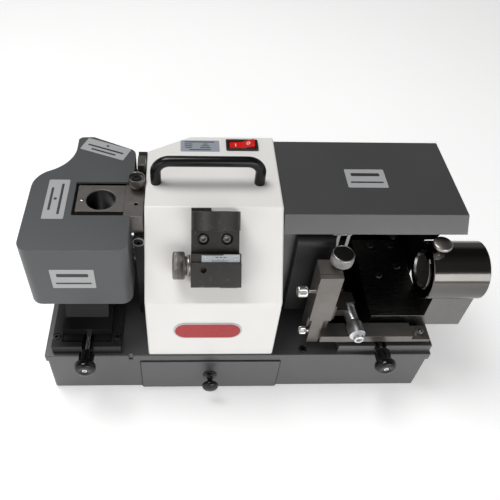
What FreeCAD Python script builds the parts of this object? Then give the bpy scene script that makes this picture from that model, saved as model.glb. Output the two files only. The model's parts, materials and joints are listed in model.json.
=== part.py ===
import FreeCAD, Part

import math
import os

from FreeCAD import Vector

# Bench-top drill bit and end mill sharpener, in millimetres.
# While modelling, X runs right from the left end of the base, Y runs back from its front
# face and Z runs up from the bench. ORIGIN then moves every piece, so that the origin is
# the middle of the whole machine's footprint, on the bench.

# ---- driving dimensions ----
BASE_WIDTH = 450.0
BASE_DEPTH = 192.0
BASE_TOP = 75.0
TOP_PLATE_THICKNESS = 10.0
FOOT_HEIGHT = 4.0
FOOT_RADIUS = 11.0
FOOT_INSET = 25.0
SHEET = 2.0
THIN_SHEET = 1.5
SIDE_INSET = 1.5
EASE = 0.3

DRAWER_OPENING_X = (114.0, 269.0)
DRAWER_OPENING_Z = (8.0, 60.0)
DRAWER_FRONT_X = (109.5, 273.0)
DRAWER_FRONT_Z = (5.0, 63.0)
DRAWER_DEPTH = 168.0
DRAWER_KNOB = (191.0, 34.0)

COVER_X = (119.0, 262.5)
COVER_FRONT_Y = 2.0
COVER_BREAK_Z = 172.4
COVER_CREST_Y = 70.5
COVER_TOP_Z = 245.0
COVER_REAR_Y = 188.0
COVER_CORNER_CUT = ((119.0, 161.0), (166.7, 188.0))

HANDLE_LEGS_X = (129.8, 240.1)
HANDLE_Y = 108.0
HANDLE_RISE = 29.0
HANDLE_RADIUS = 5.5
HANDLE_BEND = 17.0

SWITCH_X = (207.0, 243.5)
SWITCH_Y = (161.5, 180.5)
ROCKER_X = (211.0, 239.5)
ROCKER_Y = (165.0, 177.0)
ROCKER_AXIS_Z = 243.0

MOTOR_AXIS = (90.0, 150.0)
MOTOR_X = (137.0, 245.0)
MOTOR_RADIUS = 56.0
SHAFT_RADIUS = 6.0
SHAFT_SHOULDER_RADIUS = 8.0
WHEEL_RADIUS = 39.0
DRILL_WHEEL_X = (51.0, 79.0)
MILL_WHEEL_X = (288.0, 321.0)
SHAFT_X = (38.0, 309.0)

FRAME_PLATE_X = (107.0, 117.0)
FRAME_WALL_X = (263.0, 278.0)
FRAME_WALL_Y = (60.0, 184.0)
BACK_PANEL_Y = (180.0, 182.0)

DRILL_COVER_Z = (155.0, 240.0)
DRILL_COVER_SHEET = 3.0
DRILL_COVER_LEFT = -1.7
DRILL_COVER_RIGHT = 105.3
DRILL_COVER_FRONT = 15.0
CHUCK_RADIUS = 15.0
DRILL_PORT = (72.6, 90.5)
DRILL_PORT_TOP = 236.0
PORT_BLOCK_X = (47.5, 97.3)
PORT_BLOCK_Y = (72.5, 112.5)
ARM_X = (97.3, 117.5)
ARM_Y = (65.0, 118.0)
ARM_BOTTOM = 212.0
CLAMP_KNOB = (109.5, 109.0)
THINNING_AIM = (83.0, 178.1, 182.0)
THINNING_TURN = 26.6

SLIDE_TOP = 88.0
SLIDE_FLOOR = 80.0
FEED_SCREW_Z = 85.0
FEED_SCREW_RADIUS = 3.0
RUNNING_GAP = 0.05
DRILL_SLIDE_X = (9.3, 87.8)
DRILL_SLIDE_Y = (4.4, 170.0)
DRILL_FEED_X = 50.0
MILL_SLIDE_X = (339.0, 448.0)
MILL_SLIDE_Y = (4.0, 170.0)
MILL_FEED_X = 388.0
FEED_KNOB_FRONT = -26.5

SETTER_X = (167.0, 215.5)
SETTER_BORE_HEIGHT = 19.0
SETTER_KNOB_S = 41.5

DISC_CENTRE = (343.5, 45.0)
DISC_RADIUS = 38.5
DISC_Z = (90.0, 93.5)
BAR_X = (315.0, 443.0)
BAR_Y = (6.0, 25.0)
BAR_Z = (93.5, 104.0)
COLUMN_X = (299.0, 323.0)
COLUMN_Y = (12.0, 37.0)
COLUMN_TOP = 202.0
LIFT_SCREW = (321.0, 28.0)
MICROMETER = (355.0, 113.0)
MICROMETER_NOSE_Y = -5.0
MICROMETER_TURN = 5.5
STAND_TOP = 111.0
SLEEVE_AXIS = (48.0, 173.0)
SLEEVE_RADIUS = 32.0
SLEEVE_X = (422.0, 483.0)
SLEEVE_BORE = 17.5
INDEX_SLEEVE_RADIUS = 22.0
PLUNGER = (430.0, 46.0)

HOOD_X = (263.0, 456.0)
HOOD_LIP = (53.0, 223.5)
HOOD_FRONT_Y = 65.5
HOOD_TOP = 240.0
HOOD_REAR_Y = 186.0
HINGE_AXIS = (188.0, 196.0)

GLAND = (225.0, 35.0)
GLAND_END = 204.0
CORD_BORE = 3.75

STAND_RIGHT = 485.0
ORIGIN = Vector(-(DRILL_COVER_LEFT + STAND_RIGHT) / 2, -(FEED_KNOB_FRONT + GLAND_END) / 2, 0)

CASING_TOP = BASE_TOP - TOP_PLATE_THICKNESS
SLOPE_RUN = COVER_CREST_Y - COVER_FRONT_Y
SLOPE_RISE = COVER_TOP_Z - COVER_BREAK_Z
SLOPE_ANGLE = math.degrees(math.atan2(SLOPE_RISE, SLOPE_RUN))

RIGHT = Vector(1, 0, 0)
BACK = Vector(0, 1, 0)
UP = Vector(0, 0, 1)


# ---- plain building tools ----
def box(x, y, z):
    return Part.makeBox(x[1] - x[0], y[1] - y[0], z[1] - z[0], Vector(x[0], y[0], z[0]))


def rod(radius, start, axis, length):
    return Part.makeCylinder(radius, length, Vector(*start), axis)


def fuse(shapes):
    first = shapes[0]
    if len(shapes) == 1:
        return first
    return first.fuse(shapes[1:]).removeSplitter()


def prism_x(outline, x):
    wire = Part.makePolygon([Vector(x[0], y, z) for y, z in outline + outline[:1]])
    return Part.Face(wire).extrude(Vector(x[1] - x[0], 0, 0))


def prism_y(outline, y):
    wire = Part.makePolygon([Vector(x, y[0], z) for x, z in outline + outline[:1]])
    return Part.Face(wire).extrude(Vector(0, y[1] - y[0], 0))


def prism_z(outline, z):
    wire = Part.makePolygon([Vector(x, y, z[0]) for x, y in outline + outline[:1]])
    return Part.Face(wire).extrude(Vector(0, 0, z[1] - z[0]))


def turned(profile, start, axis):
    """A solid of revolution: profile lists (distance along the axis, radius)."""
    points = [Vector(radius, 0, along) for along, radius in profile]
    points = [Vector(0, 0, profile[0][0])] + points + [Vector(0, 0, profile[-1][0])]
    solid = Part.Face(Part.makePolygon(points + points[:1])).revolve(Vector(0, 0, 0), UP, 360)
    solid.Placement = FreeCAD.Placement(Vector(*start), FreeCAD.Rotation(UP, axis))
    return solid


def edges_along(shape, direction):
    return [edge for edge in shape.Edges
            if len(edge.Vertexes) == 2
            and edge.Vertexes[0].Point.sub(edge.Vertexes[1].Point).cross(direction).Length < 1e-6]


def eased_box(x, y, z, direction, radius):
    block = box(x, y, z)
    return block.makeFillet(radius, edges_along(block, direction))


def hollowed(shape, open_normal, thickness):
    """The shell left when the face with this outward normal is open."""
    face = max(shape.Faces, key=lambda f: f.CenterOfMass.dot(open_normal))
    return shape.makeThickness([face], -thickness, 1e-3)


def export(name, shapes):
    if not isinstance(shapes, list):
        shapes = [shapes]
    moved = [shape.copy() for shape in shapes]
    for shape in moved:
        shape.translate(ORIGIN)
    solids = [solid for shape in moved for solid in shape.Solids]
    node = solids[0] if len(solids) == 1 else Part.makeCompound(solids)
    node.exportStep("parts/" + name + ".step")


# ---- base ----
CASING_X = (SIDE_INSET, BASE_WIDTH - SIDE_INSET)
CASING_Y = (SIDE_INSET, BASE_DEPTH - SIDE_INSET)
FEET_PLACES = [(x, y) for x in (FOOT_INSET, BASE_WIDTH - FOOT_INSET)
               for y in (FOOT_INSET, BASE_DEPTH - FOOT_INSET)]
GLAND_BODY_RADIUS = 7.0


def base_casing():
    outer = eased_box(CASING_X, CASING_Y, (FOOT_HEIGHT, CASING_TOP), UP, 3.0)
    inner = box((CASING_X[0] + SHEET, CASING_X[1] - SHEET),
                (CASING_Y[0] + SHEET, CASING_Y[1] - SHEET), (FOOT_HEIGHT, CASING_TOP))
    drawer_opening = box(DRAWER_OPENING_X, (0.0, CASING_Y[0] + SHEET), DRAWER_OPENING_Z)
    gland_hole = rod(GLAND_BODY_RADIUS, (GLAND[0], CASING_Y[1] - SHEET, GLAND[1]), BACK, SHEET)
    return outer.cut([inner, drawer_opening, gland_hole])


def base_bottom_plate():
    return box((CASING_X[0] + SHEET, CASING_X[1] - SHEET),
               (CASING_Y[0] + SHEET, CASING_Y[1] - SHEET), (FOOT_HEIGHT, FOOT_HEIGHT + SHEET))


def rubber_feet():
    profile = [(0.0, FOOT_RADIUS - 1.5), (1.5, FOOT_RADIUS), (FOOT_HEIGHT, FOOT_RADIUS)]
    return [turned(profile, (x, y, 0.0), UP) for x, y in FEET_PLACES]


def base_top_plate():
    plate = eased_box((0.0, BASE_WIDTH), (0.0, BASE_DEPTH), (CASING_TOP, BASE_TOP), UP, 2.0)
    front_edge = [e for e in edges_along(plate, RIGHT)
                  if e.CenterOfMass.z > CASING_TOP + 1 and e.CenterOfMass.y < 1]
    plate = plate.makeFillet(1.2, front_edge)
    notch = box((96.0, 101.0), (-1.0, 3.0), (CASING_TOP, BASE_TOP))
    return plate.cut([notch] + [screw_room(*screw) for screw in FRAME_SCREWS])


HEAD_RADIUS = 4.25
HEAD_HEIGHT = 5.0
SHANK_RADIUS = 2.5


def cap_screw(x, y, seat, length):
    """An upright socket cap screw whose head stands on the seat."""
    head = turned([(0.0, HEAD_RADIUS), (HEAD_HEIGHT - 0.4, HEAD_RADIUS),
                   (HEAD_HEIGHT, HEAD_RADIUS - 0.4)], (x, y, seat), UP)
    socket = rod(2.0, (x, y, seat + 2.4), UP, 2.6)
    return fuse([head, rod(SHANK_RADIUS, (x, y, seat - length), UP, length)]).cut(socket)


def screw_room(x, y, seat, length):
    """The hole that a cap screw fills, with a wider pocket round and over its head."""
    return fuse([rod(HEAD_RADIUS + 0.6, (x, y, seat), UP, 2 * HEAD_HEIGHT),
                 rod(SHANK_RADIUS, (x, y, seat - length), UP, length)])


FRAME_SCREWS = [(x, y, SLIDE_FLOOR + 3.4, 12.0) for slide in (DRILL_SLIDE_X, MILL_SLIDE_X)
                for x in (slide[0] + 4.4, slide[1] - 4.4) for y in (18.0, 160.0)]
FRAME_SCREWS.append((299.0, 8.6, BASE_TOP - 4.5, 5.0))


def drawer_runners():
    runners = []
    for wall, inward in ((DRAWER_OPENING_X[0] - 2.6, 1), (DRAWER_OPENING_X[1] + 2.6, -1)):
        angle = [(wall, 6.0), (wall + inward * 10.0, 6.0), (wall + inward * 10.0, 8.4),
                 (wall + inward * 1.6, 8.4), (wall + inward * 1.6, 30.0), (wall, 30.0)]
        runners.append(prism_y(angle, (CASING_Y[0] + SHEET, 178.0)))
    return runners


DRAWER_PANEL_Y = (-1.4, 1.2)


def drawer_tray():
    x = (DRAWER_OPENING_X[0] + 1.0, DRAWER_OPENING_X[1] - 1.0)
    y = (DRAWER_PANEL_Y[1], DRAWER_DEPTH)
    z = (DRAWER_OPENING_Z[0] + 1.0, DRAWER_OPENING_Z[1] - 2.0)
    wall = 1.2
    tray = box(x, y, z).cut(box((x[0] + wall, x[1] - wall), (y[0] + wall, y[1] - wall),
                                (z[0] + wall, z[1])))
    panel = eased_box(DRAWER_FRONT_X, DRAWER_PANEL_Y, DRAWER_FRONT_Z, BACK, 1.0)
    return fuse([tray, panel])


def drawer_knob():
    profile = [(0.0, 8.5), (1.6, 8.5), (3.4, 3.6), (10.4, 3.2), (12.2, 8.6), (14.6, 9.75),
               (17.4, 9.0), (19.2, 6.2), (20.0, 2.0)]
    return turned(profile, (DRAWER_KNOB[0], DRAWER_PANEL_Y[0], DRAWER_KNOB[1]), -BACK)


def cable_gland():
    start = CASING_Y[1] - SHEET - 3.0
    profile = [(0.0, 9.5), (3.0, 9.5), (3.0, GLAND_BODY_RADIUS), (5.0, GLAND_BODY_RADIUS),
               (5.0, 10.5), (9.5, 10.5), (GLAND_END - start, 6.6)]
    gland = turned(profile, (GLAND[0], start, GLAND[1]), BACK)
    return gland.cut(rod(CORD_BORE, (GLAND[0], start, GLAND[1]), BACK, GLAND_END - start))


# ---- centre cover and what is on it ----
def centre_cover():
    outline = [(COVER_FRONT_Y, BASE_TOP), (COVER_FRONT_Y, COVER_BREAK_Z),
               (COVER_CREST_Y, COVER_TOP_Z), (COVER_REAR_Y, COVER_TOP_Z),
               (COVER_REAR_Y, BASE_TOP)]
    solid = prism_x(outline, COVER_X)
    (cut_left, cut_rear) = COVER_CORNER_CUT
    beyond = 10.0
    slope = (cut_rear[1] - cut_left[1]) / (cut_rear[0] - cut_left[0])
    corner = prism_z([(cut_left[0] - beyond, cut_left[1] - beyond * slope),
                      (cut_rear[0] + beyond, cut_rear[1] + beyond * slope),
                      (cut_left[0] - beyond, cut_rear[1] + beyond * slope)],
                     (BASE_TOP, COVER_TOP_Z))
    solid = solid.cut(corner)
    bends = [e for e in solid.Edges if e.CenterOfMass.z > BASE_TOP + 1]
    shell = hollowed(solid.makeFillet(2.6, bends), -UP, SHEET)
    shaft_hole = rod(14.0, (COVER_X[0], *MOTOR_AXIS), RIGHT, COVER_X[1] - COVER_X[0])
    switch_hole = box((SWITCH_X[0] + 1.7, SWITCH_X[1] - 1.7),
                      (SWITCH_Y[0] + 1.7, SWITCH_Y[1] - 1.7),
                      (COVER_TOP_Z - SHEET, COVER_TOP_Z))
    return shell.cut([shaft_hole, switch_hole])


def carry_handle():
    """A round bar bent into a flat-topped bow."""
    left, right = HANDLE_LEGS_X
    top = COVER_TOP_Z + HANDLE_RISE - HANDLE_RADIUS
    bend = HANDLE_BEND
    slant = bend * (1 - math.sqrt(0.5))
    path = Part.Wire([
        Part.makeLine(Vector(left, HANDLE_Y, COVER_TOP_Z), Vector(left, HANDLE_Y, top - bend)),
        Part.Arc(Vector(left, HANDLE_Y, top - bend),
                 Vector(left + slant, HANDLE_Y, top - slant),
                 Vector(left + bend, HANDLE_Y, top)).toShape(),
        Part.makeLine(Vector(left + bend, HANDLE_Y, top), Vector(right - bend, HANDLE_Y, top)),
        Part.Arc(Vector(right - bend, HANDLE_Y, top),
                 Vector(right - slant, HANDLE_Y, top - slant),
                 Vector(right, HANDLE_Y, top - bend)).toShape(),
        Part.makeLine(Vector(right, HANDLE_Y, top - bend),
                      Vector(right, HANDLE_Y, COVER_TOP_Z))])
    ring = Part.Wire(Part.makeCircle(HANDLE_RADIUS, Vector(left, HANDLE_Y, COVER_TOP_Z), UP))
    return path.makePipeShell([ring], True, False)


def switch_bezel():
    flange = eased_box(SWITCH_X, SWITCH_Y, (COVER_TOP_Z, COVER_TOP_Z + 2.2), UP, 2.0)
    body = box((SWITCH_X[0] + 1.7, SWITCH_X[1] - 1.7), (SWITCH_Y[0] + 1.7, SWITCH_Y[1] - 1.7),
               (COVER_TOP_Z - 16.0, COVER_TOP_Z))
    well = box((ROCKER_X[0] - 1.4, ROCKER_X[1] + 1.4), (ROCKER_Y[0] - 0.5, ROCKER_Y[1] + 0.5),
               (COVER_TOP_Z - 12.0, COVER_TOP_Z + 2.2))
    return fuse([flange, body]).cut(well)


def switch_rocker():
    middle = (ROCKER_X[0] + ROCKER_X[1]) / 2
    half = (ROCKER_X[1] - ROCKER_X[0]) / 2
    outline = [(middle - half, ROCKER_AXIS_Z - 2.0), (middle + half, ROCKER_AXIS_Z - 2.0),
               (middle + half, ROCKER_AXIS_Z + 7.6), (middle + half * 0.8, ROCKER_AXIS_Z + 7.4),
               (middle, ROCKER_AXIS_Z + 3.2), (middle - half, ROCKER_AXIS_Z + 2.6)]
    pivot = rod(3.2, (middle, ROCKER_Y[0], ROCKER_AXIS_Z), BACK, ROCKER_Y[1] - ROCKER_Y[0])
    return fuse([prism_y(outline, ROCKER_Y), pivot])


# ---- motor and wheels ----
def motor_housing():
    start, end = MOTOR_X
    centre = (start, *MOTOR_AXIS)
    tube = rod(MOTOR_RADIUS, centre, RIGHT, end - start)
    tube = tube.cut(rod(MOTOR_RADIUS - 4.0, centre, RIGHT, end - start))
    ribs = []
    rib_count = 12
    for index in range(rib_count):
        angle = 2 * math.pi * index / rib_count
        rib = box((start + 14.0, end - 14.0), (-1.0, 1.0), (MOTOR_RADIUS - 1.0, MOTOR_RADIUS + 4.0))
        rib.rotate(Vector(0, 0, 0), RIGHT, math.degrees(angle) + 15.0)
        rib.translate(Vector(0, *MOTOR_AXIS))
        ribs.append(rib)
    return fuse([tube] + ribs)


END_BELL_THICKNESS = 8.0
BEARING_RADIUS = 14.0
BEARING_WIDTH = 9.0


def motor_end_bells():
    bells = []
    for start, axis in ((MOTOR_X[0], -RIGHT), (MOTOR_X[1], RIGHT)):
        profile = [(0.0, MOTOR_RADIUS), (4.0, MOTOR_RADIUS), (END_BELL_THICKNESS, MOTOR_RADIUS - 8.0),
                   (END_BELL_THICKNESS, 20.0), (END_BELL_THICKNESS + 1.0, 20.0)]
        bell = turned(profile, (start, *MOTOR_AXIS), axis)
        bell = bell.cut(rod(BEARING_RADIUS, (start, *MOTOR_AXIS), axis, END_BELL_THICKNESS + 1.0))
        bells.append(bell)
    return bells


def motor_bearings():
    bearings = []
    for start, axis in ((MOTOR_X[0], -RIGHT), (MOTOR_X[1], RIGHT)):
        ring = rod(BEARING_RADIUS, (start, *MOTOR_AXIS), axis, BEARING_WIDTH)
        hole = rod(SHAFT_SHOULDER_RADIUS + RUNNING_GAP, (start, *MOTOR_AXIS), axis, BEARING_WIDTH)
        bearings.append(ring.cut(hole))
    return bearings


def motor_cradle():
    block = box((165.0, 217.0), (48.0, 132.0), (BASE_TOP, 112.0))
    return block.cut(rod(MOTOR_RADIUS + 4.2, (MOTOR_X[0], *MOTOR_AXIS), RIGHT,
                         MOTOR_X[1] - MOTOR_X[0]))


def motor_shaft():
    """The rotor core, its stepped shaft and the shoulders that the wheels seat on."""
    core_half = 38.0
    middle = (MOTOR_X[0] + MOTOR_X[1]) / 2
    left_seat = DRILL_WHEEL_X[1]
    right_seat = MILL_WHEEL_X[0]
    profile = [(SHAFT_X[0], SHAFT_RADIUS), (left_seat, SHAFT_RADIUS), (left_seat, 16.0),
               (left_seat + 4.0, 16.0), (left_seat + 4.0, SHAFT_SHOULDER_RADIUS),
               (middle - core_half, SHAFT_SHOULDER_RADIUS), (middle - core_half, 34.0),
               (middle + core_half, 34.0), (middle + core_half, SHAFT_SHOULDER_RADIUS),
               (right_seat - 3.5, SHAFT_SHOULDER_RADIUS), (right_seat - 3.5, 16.0),
               (right_seat, 16.0), (right_seat, SHAFT_RADIUS), (SHAFT_X[1], SHAFT_RADIUS)]
    return turned(profile, (0.0, *MOTOR_AXIS), RIGHT)


def drill_wheel():
    """Grinding wheel with a bevel on the side that meets the drill."""
    left, right = DRILL_WHEEL_X
    profile = [(left, WHEEL_RADIUS - 6.0), (left + 4.0, WHEEL_RADIUS), (left + 14.0, WHEEL_RADIUS),
               (right, WHEEL_RADIUS - 15.0)]
    wheel = turned(profile, (0.0, *MOTOR_AXIS), RIGHT)
    return wheel.cut(rod(SHAFT_RADIUS, (left, *MOTOR_AXIS), RIGHT, right - left))


def mill_wheel():
    """Cup wheel: the end mill meets the rim on its right."""
    left, right = MILL_WHEEL_X
    profile = [(left, WHEEL_RADIUS - 4.0), (left + 4.0, WHEEL_RADIUS), (right, WHEEL_RADIUS)]
    cup = turned([(left + 11.0, WHEEL_RADIUS - 15.0), (right, WHEEL_RADIUS - 11.0)],
                 (0.0, *MOTOR_AXIS), RIGHT)
    bore = rod(SHAFT_RADIUS, (left, *MOTOR_AXIS), RIGHT, right - left)
    return turned(profile, (0.0, *MOTOR_AXIS), RIGHT).cut([cup, bore])


def wheel_nuts():
    """A flanged hexagon nut for each wheel, the left one facing left."""
    across_corners = 11.0
    nuts = []
    for seat, axis in ((DRILL_WHEEL_X[0], -RIGHT), (MILL_WHEEL_X[0] + 11.0, RIGHT)):
        corners = [Vector(across_corners * math.cos(math.radians(60 * i)),
                          across_corners * math.sin(math.radians(60 * i)), 3.0) for i in range(6)]
        hexagon = Part.Face(Part.makePolygon(corners + corners[:1])).extrude(Vector(0, 0, 7.0))
        hexagon.Placement = FreeCAD.Placement(Vector(seat, *MOTOR_AXIS), FreeCAD.Rotation(UP, axis))
        flange = rod(16.0, (seat, *MOTOR_AXIS), axis, 3.0)
        hole = rod(SHAFT_RADIUS, (seat, *MOTOR_AXIS), axis, 10.0)
        nuts.append(fuse([hexagon, flange]).cut(hole))
    return nuts


GUARD_X = (FRAME_WALL_X[1], 319.0)
GUARD_Y = (48.0, 140.0)
GUARD_Z = (100.0, 219.0)
GUARD_CREST = 12.0


def wheel_guard():
    """A bent sheet box over the cup wheel, open below and towards the end mill."""
    solid = crested_box(GUARD_X, GUARD_Y, GUARD_Z, GUARD_CREST)
    room = crested_box((GUARD_X[0] + THIN_SHEET, GUARD_X[1]),
                       (GUARD_Y[0] + THIN_SHEET, GUARD_Y[1] - THIN_SHEET),
                       (GUARD_Z[0], GUARD_Z[1] - THIN_SHEET), GUARD_CREST - THIN_SHEET)
    return solid.cut([room, rod(18.0, (GUARD_X[0], *MOTOR_AXIS), RIGHT, THIN_SHEET)])


def crested_box(x, y, z, radius):
    """A box whose two upper edges along X are rounded."""
    block = box(x, y, z)
    crest = [e for e in edges_along(block, RIGHT) if e.CenterOfMass.z > z[0] + 1]
    return block.makeFillet(radius, crest)


def left_frame_plate():
    outline = [(62.0, BASE_TOP), (62.0, ARM_BOTTOM), (ARM_Y[1] + 0.5, ARM_BOTTOM),
               (ARM_Y[1] + 0.5, 229.0), (179.0, 229.0), (188.0, 214.0), (188.0, BASE_TOP)]
    plate = prism_x(outline, FRAME_PLATE_X)
    shaft_hole = rod(12.0, (FRAME_PLATE_X[0], *MOTOR_AXIS), RIGHT, 10.0)
    boss = rod(5.0, (112.0, 62.0, 204.0), -BACK, 3.0)
    return fuse([plate, boss]).cut([shaft_hole, rod(2.5, (112.0, 59.0, 204.0), BACK, 4.0)])


def right_frame_wall():
    """The wall right of the centre cover, with the back panel and its hinge lugs."""
    front, rear = FRAME_WALL_Y
    top = HOOD_TOP - 2.5
    wall = prism_x([(front, BASE_TOP), (front, top - 9.0), (front + 7.0, top), (rear, top),
                    (rear, BASE_TOP)], FRAME_WALL_X)
    shaft_hole = rod(12.0, (FRAME_WALL_X[0], *MOTOR_AXIS), RIGHT, 15.0)
    panel = box((FRAME_WALL_X[1], 452.0), BACK_PANEL_Y, (BASE_TOP, 200.0))
    lugs = [hinge_lug(x, BACK_PANEL_Y[0], HINGE_AXIS[1] - 4.0) for x in PANEL_LUGS_X]
    pin_hole = rod(HINGE_PIN_RADIUS, (HOOD_X[0], *HINGE_AXIS), RIGHT, HOOD_X[1] - HOOD_X[0])
    return fuse([wall.cut(shaft_hole), panel] + lugs).cut(pin_hole)


HINGE_PIN_RADIUS = 2.0
HOOD_LUGS_X = ((306.0, 316.0), (410.0, 420.0))
PANEL_LUGS_X = ((299.5, 305.5), (316.5, 322.5), (403.5, 409.5), (420.5, 426.5))


def hinge_lug(x, from_y, low_z):
    tongue = box(x, (from_y, HINGE_AXIS[0]), (low_z, HINGE_AXIS[1] + 4.0))
    return fuse([tongue, rod(4.0, (x[0], *HINGE_AXIS), RIGHT, x[1] - x[0])])


# ---- drill side ----
def drill_cover_outline():
    left, right, front = DRILL_COVER_LEFT, DRILL_COVER_RIGHT, DRILL_COVER_FRONT
    corner = 12.0
    nook = corner * (1 - math.sqrt(0.5))
    side_end, waist, back_start = (left, 106.0), (14.5, 132.0), (38.7, 171.0)
    low = DRILL_COVER_Z[0]

    def spot(x, y):
        return Vector(x, y, low)

    def bend(start, end, vertical_at_start):
        """An arc from start to end whose tangent runs along Y at one of them."""
        run, rise = end[0] - start[0], end[1] - start[1]
        radius = (run * run + rise * rise) / (2 * abs(run))
        fixed = start if vertical_at_start else end
        other = end if vertical_at_start else start
        centre = (fixed[0] + math.copysign(radius, other[0] - fixed[0]), fixed[1])
        angle_a = math.atan2(start[1] - centre[1], start[0] - centre[0])
        angle_b = math.atan2(end[1] - centre[1], end[0] - centre[0])
        if angle_a - angle_b > math.pi:
            angle_b += 2 * math.pi
        if angle_b - angle_a > math.pi:
            angle_a += 2 * math.pi
        half = (angle_a + angle_b) / 2
        middle = (centre[0] + radius * math.cos(half), centre[1] + radius * math.sin(half))
        return Part.Arc(spot(*start), spot(*middle), spot(*end)).toShape()

    rear_left, rear_break, rear_right = (38.7, 187.5), (55.7, 191.5), (100.6, 169.3)
    rear_notch = (42.2, 191.0)
    return Part.Wire([
        Part.makeLine(spot(left + corner, front), spot(right - corner, front)),
        Part.Arc(spot(right - corner, front), spot(right - nook, front + nook),
                 spot(right, front + corner)).toShape(),
        Part.makeLine(spot(right, front + corner), spot(right, 158.0)),
        Part.Arc(spot(right, 158.0), spot(104.2, 165.0), spot(*rear_right)).toShape(),
        Part.makeLine(spot(*rear_right), spot(*rear_break)),
        Part.makeLine(spot(*rear_break), spot(*rear_notch)),
        Part.makeLine(spot(*rear_notch), spot(*rear_left)),
        Part.makeLine(spot(*rear_left), spot(*back_start)),
        bend(back_start, waist, True),
        bend(waist, side_end, False),
        Part.makeLine(spot(*side_end), spot(left, front + corner)),
        Part.Arc(spot(left, front + corner), spot(left + nook, front + nook),
                 spot(left + corner, front)).toShape()])


def thinning_direction():
    turn = math.radians(THINNING_TURN)
    return Vector(math.sin(turn), math.cos(turn), 0)


def drill_cover():
    height = DRILL_COVER_Z[1] - DRILL_COVER_Z[0]
    face = Part.Face(drill_cover_outline())
    inner_face = face.makeOffset2D(-DRILL_COVER_SHEET)
    room = inner_face.extrude(Vector(0, 0, height - DRILL_COVER_SHEET))
    shell = face.extrude(Vector(0, 0, height)).cut(room)
    beyond = 10.0
    port_slot = eased_box((PORT_BLOCK_X[0] - 2.2, DRILL_COVER_RIGHT + beyond),
                          (63.0, PORT_BLOCK_Y[1] + 1.6), (200.0, DRILL_COVER_Z[1] + 1), UP, 2.0)
    side_slot = box((DRILL_COVER_RIGHT - DRILL_COVER_SHEET - 0.5, DRILL_COVER_RIGHT + beyond),
                    (60.0, 160.0), (DRILL_COVER_Z[0], DRILL_COVER_Z[1] - DRILL_COVER_SHEET))
    knob_notch = rod(11.0, (*CLAMP_KNOB, 200.0), UP, 60.0)
    aim = Vector(*THINNING_AIM)
    thinning_hole = Part.makeCylinder(17.5, 20.0, aim.sub(thinning_direction() * 10.0),
                                      thinning_direction())
    return shell.cut([port_slot, side_slot, knob_notch, thinning_hole])


def drill_port_block():
    block = eased_box(PORT_BLOCK_X, PORT_BLOCK_Y, (208.0, DRILL_PORT_TOP), UP, 1.0)
    ledge = box((PORT_BLOCK_X[0], PORT_BLOCK_X[1] - 4.0), (66.0, PORT_BLOCK_Y[0]), (212.0, 228.0))
    bore = rod(CHUCK_RADIUS, (*DRILL_PORT, 208.0), UP, DRILL_PORT_TOP - 208.0)
    mouth = Part.makeCone(CHUCK_RADIUS, CHUCK_RADIUS + 0.8, 0.8,
                          Vector(*DRILL_PORT, DRILL_PORT_TOP - 0.8), UP)
    return fuse([block, ledge]).cut([bore, mouth])


CLAMP_STUD_RADIUS = 3.0


def drill_port_arm():
    arm = eased_box(ARM_X, ARM_Y, (ARM_BOTTOM, DRILL_PORT_TOP), UP, 0.6)
    stud_hole = rod(CLAMP_STUD_RADIUS + RUNNING_GAP, (*CLAMP_KNOB, 220.0), UP, 16.0)
    screw_hole = rod(2.0, (109.7, 83.8, 226.0), UP, 10.0)
    return arm.cut([stud_hole, screw_hole])


def port_clamp_knob():
    profile = [(0.0, 5.2), (7.5, 8.8), (15.5, 8.8)]
    knob = turned(profile, (*CLAMP_KNOB, DRILL_PORT_TOP + EASE), UP)
    cup = rod(7.2, (*CLAMP_KNOB, DRILL_PORT_TOP + EASE + 12.5), UP, 3.0)
    stud = rod(CLAMP_STUD_RADIUS, (*CLAMP_KNOB, 221.0), UP, 16.0)
    return fuse([knob, stud]).cut(cup)


def cover_locator():
    return eased_box((108.0, 116.5), (141.0, 158.0), (229.0, 240.5), UP, 1.0)


# ---- dovetail slides with a feed screw, one on each side ----
DOVETAIL_LEAN = 4.0
WAY_WIDTH = 11.0


def slide_base(x, y, feed_x):
    """Floor and two undercut ways, with a slot in front for the feed screw."""
    floor = box(x, y, (BASE_TOP, SLIDE_FLOOR))
    ways = []
    for edge, inward in ((x[0], 1), (x[1], -1)):
        outline = [(edge, SLIDE_FLOOR), (edge + inward * (WAY_WIDTH - DOVETAIL_LEAN), SLIDE_FLOOR),
                   (edge + inward * WAY_WIDTH, SLIDE_TOP), (edge, SLIDE_TOP)]
        ways.append(prism_y(outline, y))
    front = box(x, (y[0], y[0] + 7.0), (SLIDE_FLOOR, SLIDE_TOP))
    rear = box(x, (y[1] - 8.0, y[1]), (SLIDE_FLOOR, SLIDE_TOP + 2.0))
    slot = box((feed_x - 6.5, feed_x + 6.5), (y[0], y[0] + 7.0), (SLIDE_FLOOR, SLIDE_TOP))
    screw_hole = rod(FEED_SCREW_RADIUS + RUNNING_GAP, (feed_x, y[1] - 8.0, FEED_SCREW_Z), BACK, 8.0)
    base = fuse([floor, front, rear] + ways)
    return base.cut([slot, screw_hole] + [screw_room(*screw) for screw in FRAME_SCREWS])


def slide_body(x, y, top, feed_x):
    """The male dovetail that runs between the ways, tapped for the feed screw."""
    narrow = (x[0] + WAY_WIDTH + EASE, x[1] - WAY_WIDTH - EASE)
    outline = [(narrow[0] - DOVETAIL_LEAN, SLIDE_FLOOR + EASE),
               (narrow[1] + DOVETAIL_LEAN, SLIDE_FLOOR + EASE),
               (narrow[1], SLIDE_TOP), (narrow[1], top), (narrow[0], top), (narrow[0], SLIDE_TOP)]
    body = prism_y(outline, y)
    tunnel = rod(FEED_SCREW_RADIUS + RUNNING_GAP, (feed_x, y[0], FEED_SCREW_Z), BACK, y[1] - y[0])
    return body.cut(tunnel)


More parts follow.
